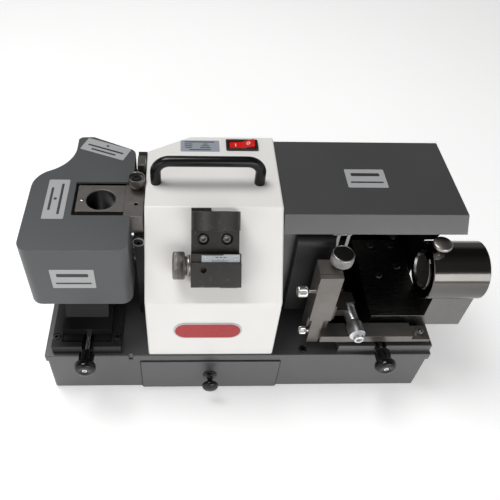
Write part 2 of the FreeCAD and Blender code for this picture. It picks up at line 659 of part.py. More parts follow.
def feed_screw(feed_x, end_y):
    start = FEED_KNOB_FRONT + 8.0
    return rod(FEED_SCREW_RADIUS, (feed_x, start, FEED_SCREW_Z), BACK, end_y - start)


def feed_knob(feed_x):
    """Star-necked knob: a wide rim in front and a fluted neck behind it."""
    profile = [(0.0, 9.0), (1.5, 11.2), (4.0, 12.0), (8.5, 12.0), (11.0, 9.6), (13.0, 8.6),
               (25.0, 8.6)]
    front = (feed_x, FEED_KNOB_FRONT, FEED_SCREW_Z)
    knob = turned(profile, front, BACK)
    flute_count = 8
    flutes = []
    for index in range(flute_count):
        angle = 2 * math.pi * index / flute_count
        x = feed_x + 9.6 * math.cos(angle)
        z = FEED_SCREW_Z + 9.6 * math.sin(angle)
        flutes.append(rod(2.2, (x, FEED_KNOB_FRONT + 12.0, z), BACK, 14.0))
    dimple = rod(4.0, front, BACK, 1.6)
    bore = rod(FEED_SCREW_RADIUS, (feed_x, FEED_KNOB_FRONT + 8.0, FEED_SCREW_Z), BACK, 20.0)
    return knob.cut(flutes + [dimple, bore])


THINNING_BLOCK_HALF = 20.0
THINNING_BLOCK_NEAR = 11.0
THINNING_BLOCK_LENGTH = 26.0
CARRIAGE_TOP = 96.0


def thinning_carriage():
    """Slide with a folded bracket in front and a post for the thinning port behind."""
    body = slide_body(DRILL_SLIDE_X, (14.0, 155.0), SLIDE_TOP - 2.0, DRILL_FEED_X)
    narrow = (DRILL_SLIDE_X[0] + WAY_WIDTH + EASE, DRILL_SLIDE_X[1] - WAY_WIDTH - EASE)
    table = box(narrow, (23.0, 155.0), (SLIDE_TOP - 2.0, CARRIAGE_TOP))
    slot = box((DRILL_FEED_X - 6.0, DRILL_FEED_X + 6.0), (14.0, 23.0), (SLIDE_FLOOR, SLIDE_TOP))
    bracket = prism_x([(40.0, CARRIAGE_TOP), (52.0, 112.0), (55.0, 112.0), (45.0, CARRIAGE_TOP)],
                      (22.0, 72.0))
    post = box((60.0, 76.0), (141.0, 155.0), (CARRIAGE_TOP - 1.0, THINNING_AIM[2] - THINNING_BLOCK_HALF))
    return fuse([body.cut(slot), table.cut(rod(FEED_SCREW_RADIUS + RUNNING_GAP,
                                               (DRILL_FEED_X, 14.0, FEED_SCREW_Z), BACK, 150.0)),
                 bracket, post])


def thinning_port_block():
    half = THINNING_BLOCK_HALF
    near, length = THINNING_BLOCK_NEAR, THINNING_BLOCK_LENGTH
    block = eased_box((-half, half), (-near - length, -near), (-half, half), BACK, 3.0)
    block = block.cut(rod(CHUCK_RADIUS, (0, -near - length, 0), BACK, length))
    block.rotate(Vector(0, 0, 0), UP, -THINNING_TURN)
    block.translate(Vector(*THINNING_AIM))
    return block


# ---- drill setting gauge on the cover's slope ----
def on_slope(shape):
    """Carry a shape from (X, up the slope, out of the slope) to its place."""
    shape.rotate(Vector(0, 0, 0), RIGHT, SLOPE_ANGLE)
    shape.translate(Vector(0, COVER_FRONT_Y, COVER_BREAK_Z))
    return shape


SETTER_PLATE_HEIGHT = 12.0
SETTER_BACK = 8.0
SETTER_MIDDLE = (SETTER_X[0] + SETTER_X[1]) / 2
SETTER_RAIL_S = (33.0, 49.0)
SETTER_RAIL_TOP = 11.5
SETTER_NUT_X = (186.0, 194.0)
SETTER_NUT_TOP = 21.0
SETTER_TRAVEL = 3.0
SETTER_KNOB_HEIGHT = 16.0
SETTER_SCREWS = ((179.2, 68.0), (203.0, 68.0))
SETTER_SCREW_SEAT = 6.5


def setter_port():
    """The arched block at the top that a chuck drops into."""
    left, right = SETTER_X
    arch = [Part.makeLine(Vector(left, 77.0, 0.15), Vector(left, 77.0, 22.0)),
            Part.Arc(Vector(left, 77.0, 22.0), Vector(SETTER_MIDDLE, 77.0, 37.5),
                     Vector(right, 77.0, 22.0)).toShape(),
            Part.makeLine(Vector(right, 77.0, 22.0), Vector(right, 77.0, 0.15)),
            Part.makeLine(Vector(right, 77.0, 0.15), Vector(left, 77.0, 0.15))]
    return Part.Face(Part.Wire(arch)).extrude(Vector(0, 18.7, 0))


def setter_body():
    plate = box(SETTER_X, (54.0, 77.5), (0.15, SETTER_PLATE_HEIGHT))
    back = box(SETTER_X, (22.0, 54.0), (0.15, SETTER_BACK))
    tab = box((196.5, 214.5), (17.5, 22.0), (0.15, SETTER_BACK))
    rail = box(SETTER_X, SETTER_RAIL_S, (SETTER_BACK, SETTER_RAIL_TOP))
    nut = box(SETTER_NUT_X, SETTER_RAIL_S, (SETTER_BACK, SETTER_NUT_TOP))
    ear = box((SETTER_X[0], 187.3), (92.0, 99.0), (0.15, 9.0))
    body = fuse([plate, back, tab, rail, nut, ear, setter_port()])
    pockets = [rod(6.0, (x, s, SETTER_SCREW_SEAT), UP, 10.0) for x, s in SETTER_SCREWS]
    shanks = [rod(2.5, (x, s, 0.0), UP, 10.0) for x, s in SETTER_SCREWS]
    tap = rod(FEED_SCREW_RADIUS + RUNNING_GAP,
              (SETTER_NUT_X[0], SETTER_KNOB_S, SETTER_KNOB_HEIGHT), RIGHT, 8.0)
    bore = rod(CHUCK_RADIUS, (SETTER_MIDDLE, 77.0, SETTER_BORE_HEIGHT), BACK, 30.0)
    return on_slope(body.cut(pockets + shanks + [tap, bore]))


def setter_screws():
    return [on_slope(cap_screw(x, s, SETTER_SCREW_SEAT, SETTER_SCREW_SEAT - 0.2))
            for x, s in SETTER_SCREWS]


SETTER_SLIDE_FRONT = 26.0
SETTER_SCREW_END = 202.0


def setter_slide():
    """Stop block that the knob shifts along its rail."""
    ends = (SETTER_X[0] - 0.5, SETTER_X[1] + 1.0)
    block = eased_box(ends, (20.5, 53.6), (SETTER_BACK + EASE, SETTER_SLIDE_FRONT), RIGHT, 1.0)
    rail_s = (SETTER_RAIL_S[0] - EASE, SETTER_RAIL_S[1] + EASE)
    groove = box(ends, rail_s, (SETTER_BACK, SETTER_RAIL_TOP + EASE))
    pocket = box((SETTER_NUT_X[0] - SETTER_TRAVEL - 1.5, SETTER_NUT_X[1] + SETTER_TRAVEL + 1.5),
                 rail_s, (SETTER_BACK, SETTER_NUT_TOP + EASE))
    screw_hole = rod(FEED_SCREW_RADIUS + RUNNING_GAP, (ends[0], SETTER_KNOB_S, SETTER_KNOB_HEIGHT),
                     RIGHT, SETTER_SCREW_END - ends[0] + 2.0)
    step = box(ends, (45.2, 53.6), (SETTER_SLIDE_FRONT - 3.0, SETTER_SLIDE_FRONT))
    set_screw_hole = rod(3.0, (179.0, 38.0, SETTER_KNOB_HEIGHT + 4.0), UP, 12.0)
    return on_slope(block.cut([groove, pocket, screw_hole, step, set_screw_hole]))


def setter_scale():
    height = SETTER_SLIDE_FRONT - 3.0
    return on_slope(box((177.2, 215.0), (45.6, 53.3), (height, height + 0.8)))


SETTER_KNOB_X = (148.2, 160.6)
SETTER_KNOB_RADIUS = 14.0


def setter_knob():
    start = (SETTER_KNOB_X[0], SETTER_KNOB_S, SETTER_KNOB_HEIGHT)
    head_length = SETTER_KNOB_X[1] - SETTER_KNOB_X[0]
    reach = SETTER_X[0] - 0.5 - EASE - SETTER_KNOB_X[0]
    profile = [(0.0, SETTER_KNOB_RADIUS - 1.0), (1.0, SETTER_KNOB_RADIUS),
               (head_length - 1.0, SETTER_KNOB_RADIUS), (head_length, SETTER_KNOB_RADIUS - 1.0),
               (head_length, 11.0), (reach, 11.0), (reach, FEED_SCREW_RADIUS),
               (SETTER_SCREW_END - SETTER_KNOB_X[0], FEED_SCREW_RADIUS)]
    return on_slope(turned(profile, start, RIGHT))


# ---- end mill side ----
def mill_carriage():
    return slide_body(MILL_SLIDE_X, (13.0, 155.0), DISC_Z[0], MILL_FEED_X)


def fence_disc():
    return turned([(0.0, DISC_RADIUS), (2.7, DISC_RADIUS), (3.5, DISC_RADIUS - 0.8)],
                  (*DISC_CENTRE, DISC_Z[0]), UP)


BAR_SCREW = (432.0, 15.5)
BAR_STEP_X = 421.0
BAR_STEP_Z = 98.0


def guide_bar():
    bar = box((BAR_X[0], BAR_STEP_X), BAR_Y, BAR_Z)
    step = box((BAR_STEP_X, BAR_X[1]), BAR_Y, (BAR_Z[0], BAR_STEP_Z))
    saddle = set_askew(rod(11.5, (MICROMETER[0], BAR_Y[0] - 2.0, MICROMETER[1]), BACK,
                           BAR_Y[1] - BAR_Y[0] + 4.0))
    return fuse([bar, step]).cut([saddle, screw_room(*CARRIAGE_SCREWS[-1])])


CARRIAGE_SCREWS = [(x, y, STAND_TOP - 4.0, 12.0)
                   for x, y in ((398.0, 91.0), (424.0, 105.0), (398.0, 140.0), (424.0, 140.0))]
CARRIAGE_SCREWS.append((*BAR_SCREW, BAR_STEP_Z, BAR_STEP_Z - BAR_Z[0]))


BLOCK_LEFT = 438.0


def sleeve_stand():
    """Plate over the slide with a block under the sleeve housing at its right end."""
    plate = box((376.0, BLOCK_LEFT), (30.0, 150.0), (DISC_Z[1], STAND_TOP))
    shelf = box((BLOCK_LEFT, STAND_RIGHT), (30.0, 77.0), (DISC_Z[1], STAND_TOP))
    spacer = box((384.0, 431.0), (30.0, 150.0), (DISC_Z[0], DISC_Z[1]))
    block = box((BLOCK_LEFT, STAND_RIGHT), (30.0, 77.0), (STAND_TOP, 152.0))
    saddle = rod(SLEEVE_RADIUS, (SLEEVE_X[0], *SLEEVE_AXIS), RIGHT, STAND_RIGHT - SLEEVE_X[0])
    disc_room = rod(DISC_RADIUS, (*DISC_CENTRE, DISC_Z[0]), UP, DISC_Z[1] - DISC_Z[0])
    rooms = [screw_room(*screw) for screw in CARRIAGE_SCREWS[:-1]]
    return fuse([plate, shelf, spacer, block]).cut([saddle, disc_room] + rooms)


def sleeve_housing():
    length = SLEEVE_X[1] - SLEEVE_X[0]
    profile = [(0.0, SLEEVE_RADIUS - 0.8), (0.8, SLEEVE_RADIUS), (length - 0.8, SLEEVE_RADIUS),
               (length, SLEEVE_RADIUS - 0.8)]
    start = (SLEEVE_X[0], *SLEEVE_AXIS)
    bore = rod(INDEX_SLEEVE_RADIUS + RUNNING_GAP, start, RIGHT, length)
    pin_hole = rod(2.5 + RUNNING_GAP, (*PLUNGER, SLEEVE_AXIS[1]), UP, 40.0)
    return turned(profile, start, RIGHT).cut([bore, pin_hole])


def index_sleeve():
    start = (SLEEVE_X[0] - 1.5, *SLEEVE_AXIS)
    length = SLEEVE_X[1] - SLEEVE_X[0] + 3.0
    ring = turned([(0.0, INDEX_SLEEVE_RADIUS - 1.0), (1.0, INDEX_SLEEVE_RADIUS),
                   (length - 1.0, INDEX_SLEEVE_RADIUS), (length, INDEX_SLEEVE_RADIUS - 1.0)],
                  start, RIGHT)
    bore = rod(SLEEVE_BORE, start, RIGHT, length)
    mouth = Part.makeCone(SLEEVE_BORE + 2.0, SLEEVE_BORE, 2.0, Vector(*start), RIGHT)
    return ring.cut([bore, mouth])


def index_plunger():
    foot = SLEEVE_AXIS[1] + INDEX_SLEEVE_RADIUS + 0.5
    pin = rod(2.5, (*PLUNGER, foot), UP, 14.0)
    knob = turned([(0.0, 3.4), (1.5, 3.4), (8.5, 10.0), (11.5, 10.0), (12.5, 9.0)],
                  (*PLUNGER, 206.0), UP)
    return fuse([pin, knob])


THUMB_SHANK_RADIUS = 2.0
UPPER_THUMB = (24.0, 165.0)
LOWER_THUMB = (15.0, 105.0)
NARROW_X = (302.0, 315.0)


def fence_column():
    """Front plate that narrows below, on a post with a slot for the lift nut."""
    front = prism_y([(NARROW_X[0], 85.0), (NARROW_X[1], 85.0), (NARROW_X[1], 127.0),
                     (COLUMN_X[1], 127.0), (COLUMN_X[1], COLUMN_TOP - 1.0),
                     (COLUMN_X[0], COLUMN_TOP - 1.0), (COLUMN_X[0], 127.0), (NARROW_X[0], 127.0)],
                    (COLUMN_Y[0], 17.5))
    post = box(COLUMN_X, (17.5, COLUMN_Y[1]), (DISC_Z[1], COLUMN_TOP))
    slot = box((313.0, COLUMN_X[1]), (20.0, 36.0), (DISC_Z[1], COLUMN_TOP - 6.0))
    bar_room = box((BAR_X[0], COLUMN_X[1]), (17.5, BAR_Y[1]), BAR_Z)
    screw_hole = rod(FEED_SCREW_RADIUS + RUNNING_GAP, (*LIFT_SCREW, COLUMN_TOP - 6.0), UP, 6.0)
    upper = rod(THUMB_SHANK_RADIUS + RUNNING_GAP, (COLUMN_X[0], *UPPER_THUMB), RIGHT, 10.0)
    lower = rod(THUMB_SHANK_RADIUS + RUNNING_GAP, (NARROW_X[0], *LOWER_THUMB), RIGHT, 10.0)
    return fuse([front, post]).cut([slot, bar_room, screw_hole, upper, lower])


def fence_height_knob():
    profile = [(0.0, 6.2), (3.0, 6.2), (8.5, 11.8), (19.0, 11.8), (20.0, 11.2)]
    knob = turned(profile, (*LIFT_SCREW, COLUMN_TOP + EASE), UP)
    screw = rod(FEED_SCREW_RADIUS, (*LIFT_SCREW, BAR_Z[1] + 4.0), UP, COLUMN_TOP - BAR_Z[1] - 3.0)
    return fuse([knob, screw])


def thumb_screw(place, face_x, head_radius, head_length, neck):
    tip = face_x + 8.0
    start = face_x - neck - head_length
    profile = [(0.0, head_radius - 0.8), (0.8, head_radius), (head_length, head_radius),
               (head_length, THUMB_SHANK_RADIUS), (tip - start, THUMB_SHANK_RADIUS)]
    return turned(profile, (start, *place), RIGHT)


def set_askew(shape):
    """Turn a shape with the micrometer, which is set a few degrees off square."""
    nose = Vector(MICROMETER[0], MICROMETER_NOSE_Y, MICROMETER[1])
    return shape.rotated(nose, UP, MICROMETER_TURN)


def micrometer_holder():
    """Nut on the lift screw, an arm, and the split clamp round the micrometer's barrel."""
    x, z = MICROMETER
    nut = box((313.5, 329.0), (20.5, 35.5), (118.0, 142.0))
    arm = box((323.5, 347.0), (30.0, 52.0), (111.0, 122.0))
    clamp = set_askew(eased_box((x - 7.2, x + 7.2), (42.0, 57.0), (z - 7.8, 121.0), BACK, 1.0))
    lift_hole = rod(FEED_SCREW_RADIUS + RUNNING_GAP, (*LIFT_SCREW, 110.0), UP, 32.0)
    barrel_hole = set_askew(rod(BARREL_RADIUS, (x, 24.0, z), BACK, 38.0))
    return fuse([nut, arm, clamp]).cut([lift_hole, barrel_hole])


BARREL_RADIUS = 6.5
SPINDLE_RADIUS = 3.2
THIMBLE_RADIUS = 8.5
BARREL_Y = (6.0, 59.0)
SPINDLE_Y = (-2.0, 80.0)


def micrometer_barrel():
    x, z = MICROMETER
    length = BARREL_Y[1] - BARREL_Y[0]
    barrel = rod(BARREL_RADIUS, (x, BARREL_Y[0], z), BACK, length)
    spindle_hole = rod(SPINDLE_RADIUS + RUNNING_GAP, (x, BARREL_Y[0], z), BACK, length)
    return set_askew(barrel.cut(spindle_hole))


def micrometer_spindle():
    x, z = MICROMETER
    length = SPINDLE_Y[1] - SPINDLE_Y[0]
    return set_askew(rod(SPINDLE_RADIUS, (x, SPINDLE_Y[0], z), BACK, length))


def micrometer_thimble():
    x, z = MICROMETER
    profile = [(0.0, 5.0), (1.0, 5.8), (6.0, 5.8), (7.0, THIMBLE_RADIUS), (21.0, THIMBLE_RADIUS),
               (24.5, BARREL_RADIUS + 0.5)]
    thimble = turned(profile, (x, MICROMETER_NOSE_Y, z), BACK)
    spindle_hole = rod(SPINDLE_RADIUS + RUNNING_GAP, (x, SPINDLE_Y[0], z), BACK, 40.0)
    barrel_room = rod(BARREL_RADIUS + RUNNING_GAP, (x, BARREL_Y[0] - 2.5, z), BACK, 40.0)
    return set_askew(thimble.cut([spindle_hole, barrel_room]))


END_WALL_FOOT = 114.0


def hood():
    """Bent sheet with a sloping front lip, an end wall and two hinge lugs."""
    inner_top = HOOD_TOP - THIN_SHEET
    lip = Vector(HOOD_FRONT_Y - HOOD_LIP[0], HOOD_TOP - HOOD_LIP[1], 0).normalize()
    low_rear = HINGE_AXIS[1] + 8.0
    outline = [HOOD_LIP, (HOOD_FRONT_Y, HOOD_TOP), (HOOD_REAR_Y, HOOD_TOP),
               (HOOD_REAR_Y, low_rear), (HOOD_REAR_Y - THIN_SHEET, low_rear),
               (HOOD_REAR_Y - THIN_SHEET, inner_top), (HOOD_FRONT_Y + 0.7, inner_top),
               (HOOD_LIP[0] + THIN_SHEET * lip.y, HOOD_LIP[1] - THIN_SHEET * lip.x)]
    sheet = prism_x(outline, HOOD_X)
    wall_x = (HOOD_X[1] - THIN_SHEET - 2.0, HOOD_X[1] - 2.0)
    end_wall = prism_x([(66.0, 216.0), (72.0, 206.0), (84.0, 194.0), (146.0, END_WALL_FOOT),
                        (HOOD_REAR_Y - THIN_SHEET, END_WALL_FOOT),
                        (HOOD_REAR_Y - THIN_SHEET, inner_top), (HOOD_FRONT_Y + 0.7, inner_top),
                        (66.0, inner_top)], wall_x)
    lugs = [fuse([hinge_lug(x, HOOD_REAR_Y - THIN_SHEET, HINGE_AXIS[1] - 2.0),
                  box(x, (HOOD_REAR_Y - THIN_SHEET, HOOD_REAR_Y), (HINGE_AXIS[1], low_rear))])
            for x in HOOD_LUGS_X]
    pin_hole = rod(HINGE_PIN_RADIUS + RUNNING_GAP, (HOOD_X[0], *HINGE_AXIS), RIGHT,
                   HOOD_X[1] - HOOD_X[0])
    return fuse([sheet, end_wall] + lugs).cut(pin_hole)


def hood_hinge_pins():
    pins = []
    for low, high in HOOD_LUGS_X:
        pins.append(rod(HINGE_PIN_RADIUS, (low - 7.0, *HINGE_AXIS), RIGHT, high - low + 14.0))
    return pins


# ---- write every node ----
os.makedirs("parts", exist_ok=True)

export("base_casing", base_casing())
export("base_top_plate", base_top_plate())
export("base_bottom_plate", base_bottom_plate())
export("rubber_feet", rubber_feet())
export("drawer_runners", drawer_runners())
export("drawer_tray", drawer_tray())
export("drawer_knob", drawer_knob())
export("cable_gland", cable_gland())
export("frame_screws", [cap_screw(*screw) for screw in FRAME_SCREWS])

export("centre_cover", centre_cover())
export("carry_handle", carry_handle())
export("switch_bezel", switch_bezel())
export("switch_rocker", switch_rocker())

export("motor_housing", motor_housing())
export("motor_end_bells", motor_end_bells())
export("motor_bearings", motor_bearings())
export("motor_cradle", motor_cradle())
export("motor_shaft", motor_shaft())
export("drill_wheel", drill_wheel())
export("mill_wheel", mill_wheel())
export("wheel_nuts", wheel_nuts())
export("wheel_guard", wheel_guard())
export("left_frame_plate", left_frame_plate())
export("right_frame_wall", right_frame_wall())

export("drill_cover", drill_cover())
export("drill_port_block", drill_port_block())
export("drill_port_arm", drill_port_arm())
export("port_clamp_knob", port_clamp_knob())
export("cover_locator", cover_locator())
export("drill_slide_base", slide_base(DRILL_SLIDE_X, DRILL_SLIDE_Y, DRILL_FEED_X))
export("thinning_carriage", thinning_carriage())
export("thinning_port_block", thinning_port_block())
export("drill_feed_screw", feed_screw(DRILL_FEED_X, DRILL_SLIDE_Y[1]))
export("drill_feed_knob", feed_knob(DRILL_FEED_X))

export("setter_body", setter_body())
export("setter_screws", setter_screws())
export("setter_slide", setter_slide())
export("setter_scale", setter_scale())
export("setter_knob", setter_knob())

export("mill_slide_base", slide_base(MILL_SLIDE_X, MILL_SLIDE_Y, MILL_FEED_X))
export("mill_carriage", mill_carriage())
export("mill_feed_screw", feed_screw(MILL_FEED_X, MILL_SLIDE_Y[1]))
export("mill_feed_knob", feed_knob(MILL_FEED_X))
export("fence_disc", fence_disc())
export("guide_bar", guide_bar())
export("carriage_screws", [cap_screw(*screw) for screw in CARRIAGE_SCREWS])
export("fence_column", fence_column())
export("fence_height_knob", fence_height_knob())
export("upper_thumb_screw", thumb_screw(UPPER_THUMB, COLUMN_X[0], 6.2, 11.0, 6.5))
export("lower_thumb_screw", thumb_screw(LOWER_THUMB, NARROW_X[0], 4.6, 8.0, 3.5))
export("micrometer_holder", micrometer_holder())
export("micrometer_barrel", micrometer_barrel())
export("micrometer_spindle", micrometer_spindle())
export("micrometer_thimble", micrometer_thimble())
export("sleeve_stand", sleeve_stand())
export("sleeve_housing", sleeve_housing())
export("index_sleeve", index_sleeve())
export("index_plunger", index_plunger())
export("hood", hood())
export("hood_hinge_pins", hood_hinge_pins())
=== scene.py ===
import json
import math

import bmesh
import bpy
from mathutils import Matrix, Vector


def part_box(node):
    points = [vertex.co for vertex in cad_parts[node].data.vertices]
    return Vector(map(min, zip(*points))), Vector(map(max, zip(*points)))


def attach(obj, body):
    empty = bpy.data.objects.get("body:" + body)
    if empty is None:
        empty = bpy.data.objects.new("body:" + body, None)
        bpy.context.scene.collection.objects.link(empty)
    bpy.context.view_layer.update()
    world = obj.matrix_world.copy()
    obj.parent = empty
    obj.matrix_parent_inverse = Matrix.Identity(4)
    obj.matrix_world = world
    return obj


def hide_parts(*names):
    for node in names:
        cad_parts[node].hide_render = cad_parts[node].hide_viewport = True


# Looks for the bench-top drill bit and end mill sharpener. Shapes are given in millimetres
# in the same bench frame as the CAD source: X right from the left end of the base, Y back
# from its front face, Z up from the bench. ORIGIN carries them to the shared frame.

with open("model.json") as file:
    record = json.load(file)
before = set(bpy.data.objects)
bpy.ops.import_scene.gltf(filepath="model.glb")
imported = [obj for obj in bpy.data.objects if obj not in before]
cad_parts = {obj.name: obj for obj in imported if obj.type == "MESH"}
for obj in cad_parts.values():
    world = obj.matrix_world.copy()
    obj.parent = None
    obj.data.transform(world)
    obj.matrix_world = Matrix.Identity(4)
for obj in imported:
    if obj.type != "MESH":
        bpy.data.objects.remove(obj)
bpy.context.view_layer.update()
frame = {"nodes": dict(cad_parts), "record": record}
scene = bpy.context.scene

MM = 0.001
ORIGIN = Vector((-0.24165, -0.08875, 0.0))
RIGHT = Vector((1, 0, 0))
BACK = Vector((0, 1, 0))
UP = Vector((0, 0, 1))

BODY_OF = {node: body for body, members in frame["record"]["behaviour"]["bodies"].items()
           for node in members}
SLOT_OF = {part["node"]: part["material_slot"] for part in frame["record"]["subparts"]}


# ---- frames for building in millimetres ----
def facing(origin, across, up):
    """Local x runs across, y runs up and z comes out of the surface, in millimetres."""
    across = across.normalized()
    out = across.cross(up).normalized()
    turn = Matrix((across, out.cross(across), out)).transposed()
    return (Matrix.Translation(Vector(origin) * MM + ORIGIN) @ turn.to_4x4()
            @ Matrix.Scale(MM, 4))


def along(origin, axis):
    """Local z runs along the axis, in millimetres."""
    side = UP if abs(axis.z) < 0.9 else BACK
    across = side.cross(axis)
    return facing(origin, across, axis.cross(across))


SLOPE_ANGLE = math.atan2(72.6, 68.5)
SLOPE_UP = Vector((0, math.cos(SLOPE_ANGLE), math.sin(SLOPE_ANGLE)))
SLOPE = facing((0.0, 2.0, 172.4), RIGHT, SLOPE_UP)


# ---- procedural finishes ----
def node_of(tree, kind, **inputs):
    """A shader node with its inputs set. An underscore stands for a space."""
    made = tree.nodes.new(kind)
    for name, value in inputs.items():
        made.inputs[name.replace("_", " ")].default_value = value
    return made


def texture(tree, spread, scale, detail=3.0):
    """Noise fixed to the piece, stretched by spread."""
    place = tree.nodes.new("ShaderNodeTexCoord")
    stretch = tree.nodes.new("ShaderNodeMapping")
    stretch.inputs["Scale"].default_value = spread
    noise = node_of(tree, "ShaderNodeTexNoise", Scale=scale, Detail=detail)
    tree.links.new(place.outputs["Object"], stretch.inputs["Vector"])
    tree.links.new(stretch.outputs["Vector"], noise.inputs["Vector"])
    return noise.outputs["Fac"]


def between(tree, source, low, high, start=0.3, end=0.7):
    """A value that runs from low to high as the source runs from start to end."""
    lift = tree.nodes.new("ShaderNodeMapRange")
    for name, value in (("From Min", start), ("From Max", end), ("To Min", low), ("To Max", high)):
        lift.inputs[name].default_value = value
    tree.links.new(source, lift.inputs["Value"])
    return lift.outputs["Result"]


def shades(tree, source, low, high, start=0.3, end=0.7):
    """A colour that runs from low to high as the source runs from start to end."""
    ramp = tree.nodes.new("ShaderNodeValToRGB")
    ramp.color_ramp.elements[0].position = start
    ramp.color_ramp.elements[1].position = end
    ramp.color_ramp.elements[0].color = (*low, 1.0)
    ramp.color_ramp.elements[1].color = (*high, 1.0)
    tree.links.new(source, ramp.inputs["Fac"])
    return ramp.outputs["Color"]


def finish(name, colour, rough, metal=0.0, mottle=0.06, cloud=18.0, grain=(1, 1, 1),
           grain_scale=900.0, rough_spread=0.06, relief=0.1, depth=0.0001, coat=0.0,
           wear=0.0, wear_colour=(0.5, 0.5, 0.5), sheen=0.5):
    """A finish with clouded colour, uneven gloss, fine relief and, if asked, scuffs."""
    made = bpy.data.materials.new(name)
    made.use_nodes = True
    tree = made.node_tree
    shader = tree.nodes["Principled BSDF"]
    shader.inputs["Metallic"].default_value = metal
    shader.inputs["Specular IOR Level"].default_value = sheen
    if coat:
        shader.inputs["Coat Weight"].default_value = coat
        shader.inputs["Coat Roughness"].default_value = 0.08
    clouds = texture(tree, (1, 1, 1), cloud)
    tint = shades(tree, clouds, [c * (1 - mottle) for c in colour],
                  [min(c * (1 + mottle), 1.0) for c in colour])
    fine = texture(tree, grain, grain_scale, 4.0)
    if wear:
        scuffs = between(tree, texture(tree, (1, 1, 1), 260.0, 6.0), 0.0, wear, 0.60, 0.72)
        mix = tree.nodes.new("ShaderNodeMix")
        mix.data_type = "RGBA"
        mix.inputs[7].default_value = (*wear_colour, 1.0)
        tree.links.new(scuffs, mix.inputs[0])
        tree.links.new(tint, mix.inputs[6])
        tint = mix.outputs[2]
    tree.links.new(tint, shader.inputs["Base Color"])
    tree.links.new(between(tree, fine, rough - rough_spread, rough + rough_spread),
                   shader.inputs["Roughness"])
    bump = node_of(tree, "ShaderNodeBump", Strength=relief, Distance=depth)
    tree.links.new(fine, bump.inputs["Height"])
    tree.links.new(bump.outputs["Normal"], shader.inputs["Normal"])
    return made


LOOKS = {
    "grey_enamel": finish("grey_enamel", (0.052, 0.0525, 0.055), 0.36, mottle=0.05, relief=0.25,
                          grain_scale=700.0, wear=0.06, wear_colour=(0.11, 0.11, 0.115), sheen=0.9),
    "white_enamel": finish("white_enamel", (0.80, 0.79, 0.765), 0.34, mottle=0.015, relief=0.12,
                           grain_scale=500.0, coat=0.15),
    "grey_moulding": finish("grey_moulding", (0.072, 0.075, 0.078), 0.38, mottle=0.04,
                            relief=0.3, grain_scale=1500.0),
    "black_coat": finish("black_coat", (0.045, 0.045, 0.044), 0.34, metal=1.0, mottle=0.15,
                         relief=0.2, wear=0.10, wear_colour=(0.08, 0.078, 0.075)),
    "black_steel": finish("black_steel", (0.070, 0.067, 0.064), 0.40, metal=0.85, mottle=0.10,
                          grain=(0.08, 1, 1), grain_scale=1600.0, relief=0.15, wear=0.15,
                          wear_colour=(0.30, 0.28, 0.26)),
    "ground_steel": finish("ground_steel", (0.20, 0.186, 0.174), 0.38, metal=0.9, mottle=0.09,
                           cloud=60.0, grain=(0.05, 1, 1), grain_scale=1800.0, relief=0.12,
                           wear=0.12, wear_colour=(0.22, 0.20, 0.19)),
    "polished_black": finish("polished_black", (0.135, 0.13, 0.124), 0.12, metal=1.0,
                             mottle=0.08, grain=(0.04, 1, 1), grain_scale=1500.0,
                             rough_spread=0.03, relief=0.03),
    "bright_steel": finish("bright_steel", (0.62, 0.61, 0.60), 0.20, metal=1.0, mottle=0.05,
                           rough_spread=0.05, relief=0.05),
    "screw_black": finish("screw_black", (0.035, 0.035, 0.036), 0.33, metal=0.7, mottle=0.2,
                          wear=0.2, wear_colour=(0.2, 0.2, 0.2)),
    "satin_chrome": finish("satin_chrome", (0.78, 0.78, 0.80), 0.36, metal=1.0, mottle=0.03,
                           rough_spread=0.05, relief=0.04, grain_scale=2500.0),
    "black_knob": finish("black_knob", (0.006, 0.006, 0.0065), 0.14, mottle=0.1,
                         rough_spread=0.04, relief=0.04, sheen=0.35),
    "black_plastic": finish("black_plastic", (0.014, 0.014, 0.015), 0.38, mottle=0.1,
                            relief=0.3, grain_scale=1800.0),
    "red_rocker": finish("red_rocker", (0.62, 0.012, 0.008), 0.18, mottle=0.08,
                         rough_spread=0.04, relief=0.04, coat=0.3),
    "rubber": finish("rubber", (0.02, 0.02, 0.02), 0.75, mottle=0.15, relief=0.4),
    "galvanised": finish("galvanised", (0.42, 0.43, 0.44), 0.38, metal=0.9, mottle=0.22,
                         cloud=140.0, relief=0.08),
    "cast_alloy": finish("cast_alloy", (0.42, 0.42, 0.43), 0.48, metal=0.8, mottle=0.12,
                         relief=0.5, grain_scale=600.0),
    "abrasive": finish("abrasive", (0.24, 0.21, 0.16), 0.85, mottle=0.35, cloud=900.0,
                       relief=0.9, grain_scale=2600.0),
    "scale_metal": finish("scale_metal", (0.52, 0.55, 0.58), 0.36, metal=0.55, mottle=0.05,
                          grain=(0.06, 1, 1), relief=0.06),
}
LABEL = finish("label_film", (0.38, 0.385, 0.39), 0.35, mottle=0.03, relief=0.05)
MATTE_BLACK = finish("matte_black", (0.010, 0.010, 0.0105), 0.45, mottle=0.15, relief=0.2,
                     wear=0.1, wear_colour=(0.03, 0.03, 0.03), sheen=0.35)
STAND_BLACK = finish("stand_black", (0.19, 0.185, 0.18), 0.30, metal=1.0, mottle=0.08,
                     grain=(0.05, 1, 1), grain_scale=1500.0, relief=0.05)
DARK_STEEL = finish("dark_steel", (0.13, 0.12, 0.112), 0.40, metal=0.9, mottle=0.1)
DARK_CHROME = finish("dark_chrome", (0.30, 0.295, 0.29), 0.30, metal=1.0, mottle=0.1,
                     relief=0.08)
PLATE = finish("rating_metal", (0.34, 0.37, 0.42), 0.38, metal=0.2, mottle=0.05, relief=0.06)
INK = finish("printed_ink", (0.03, 0.03, 0.035), 0.5, mottle=0.2, relief=0.05)
PALE_INK = finish("pale_ink", (0.75, 0.75, 0.74), 0.5, mottle=0.05, relief=0.05)
BADGE_RED = finish("badge_enamel", (0.36, 0.008, 0.012), 0.30, mottle=0.06, relief=0.05)
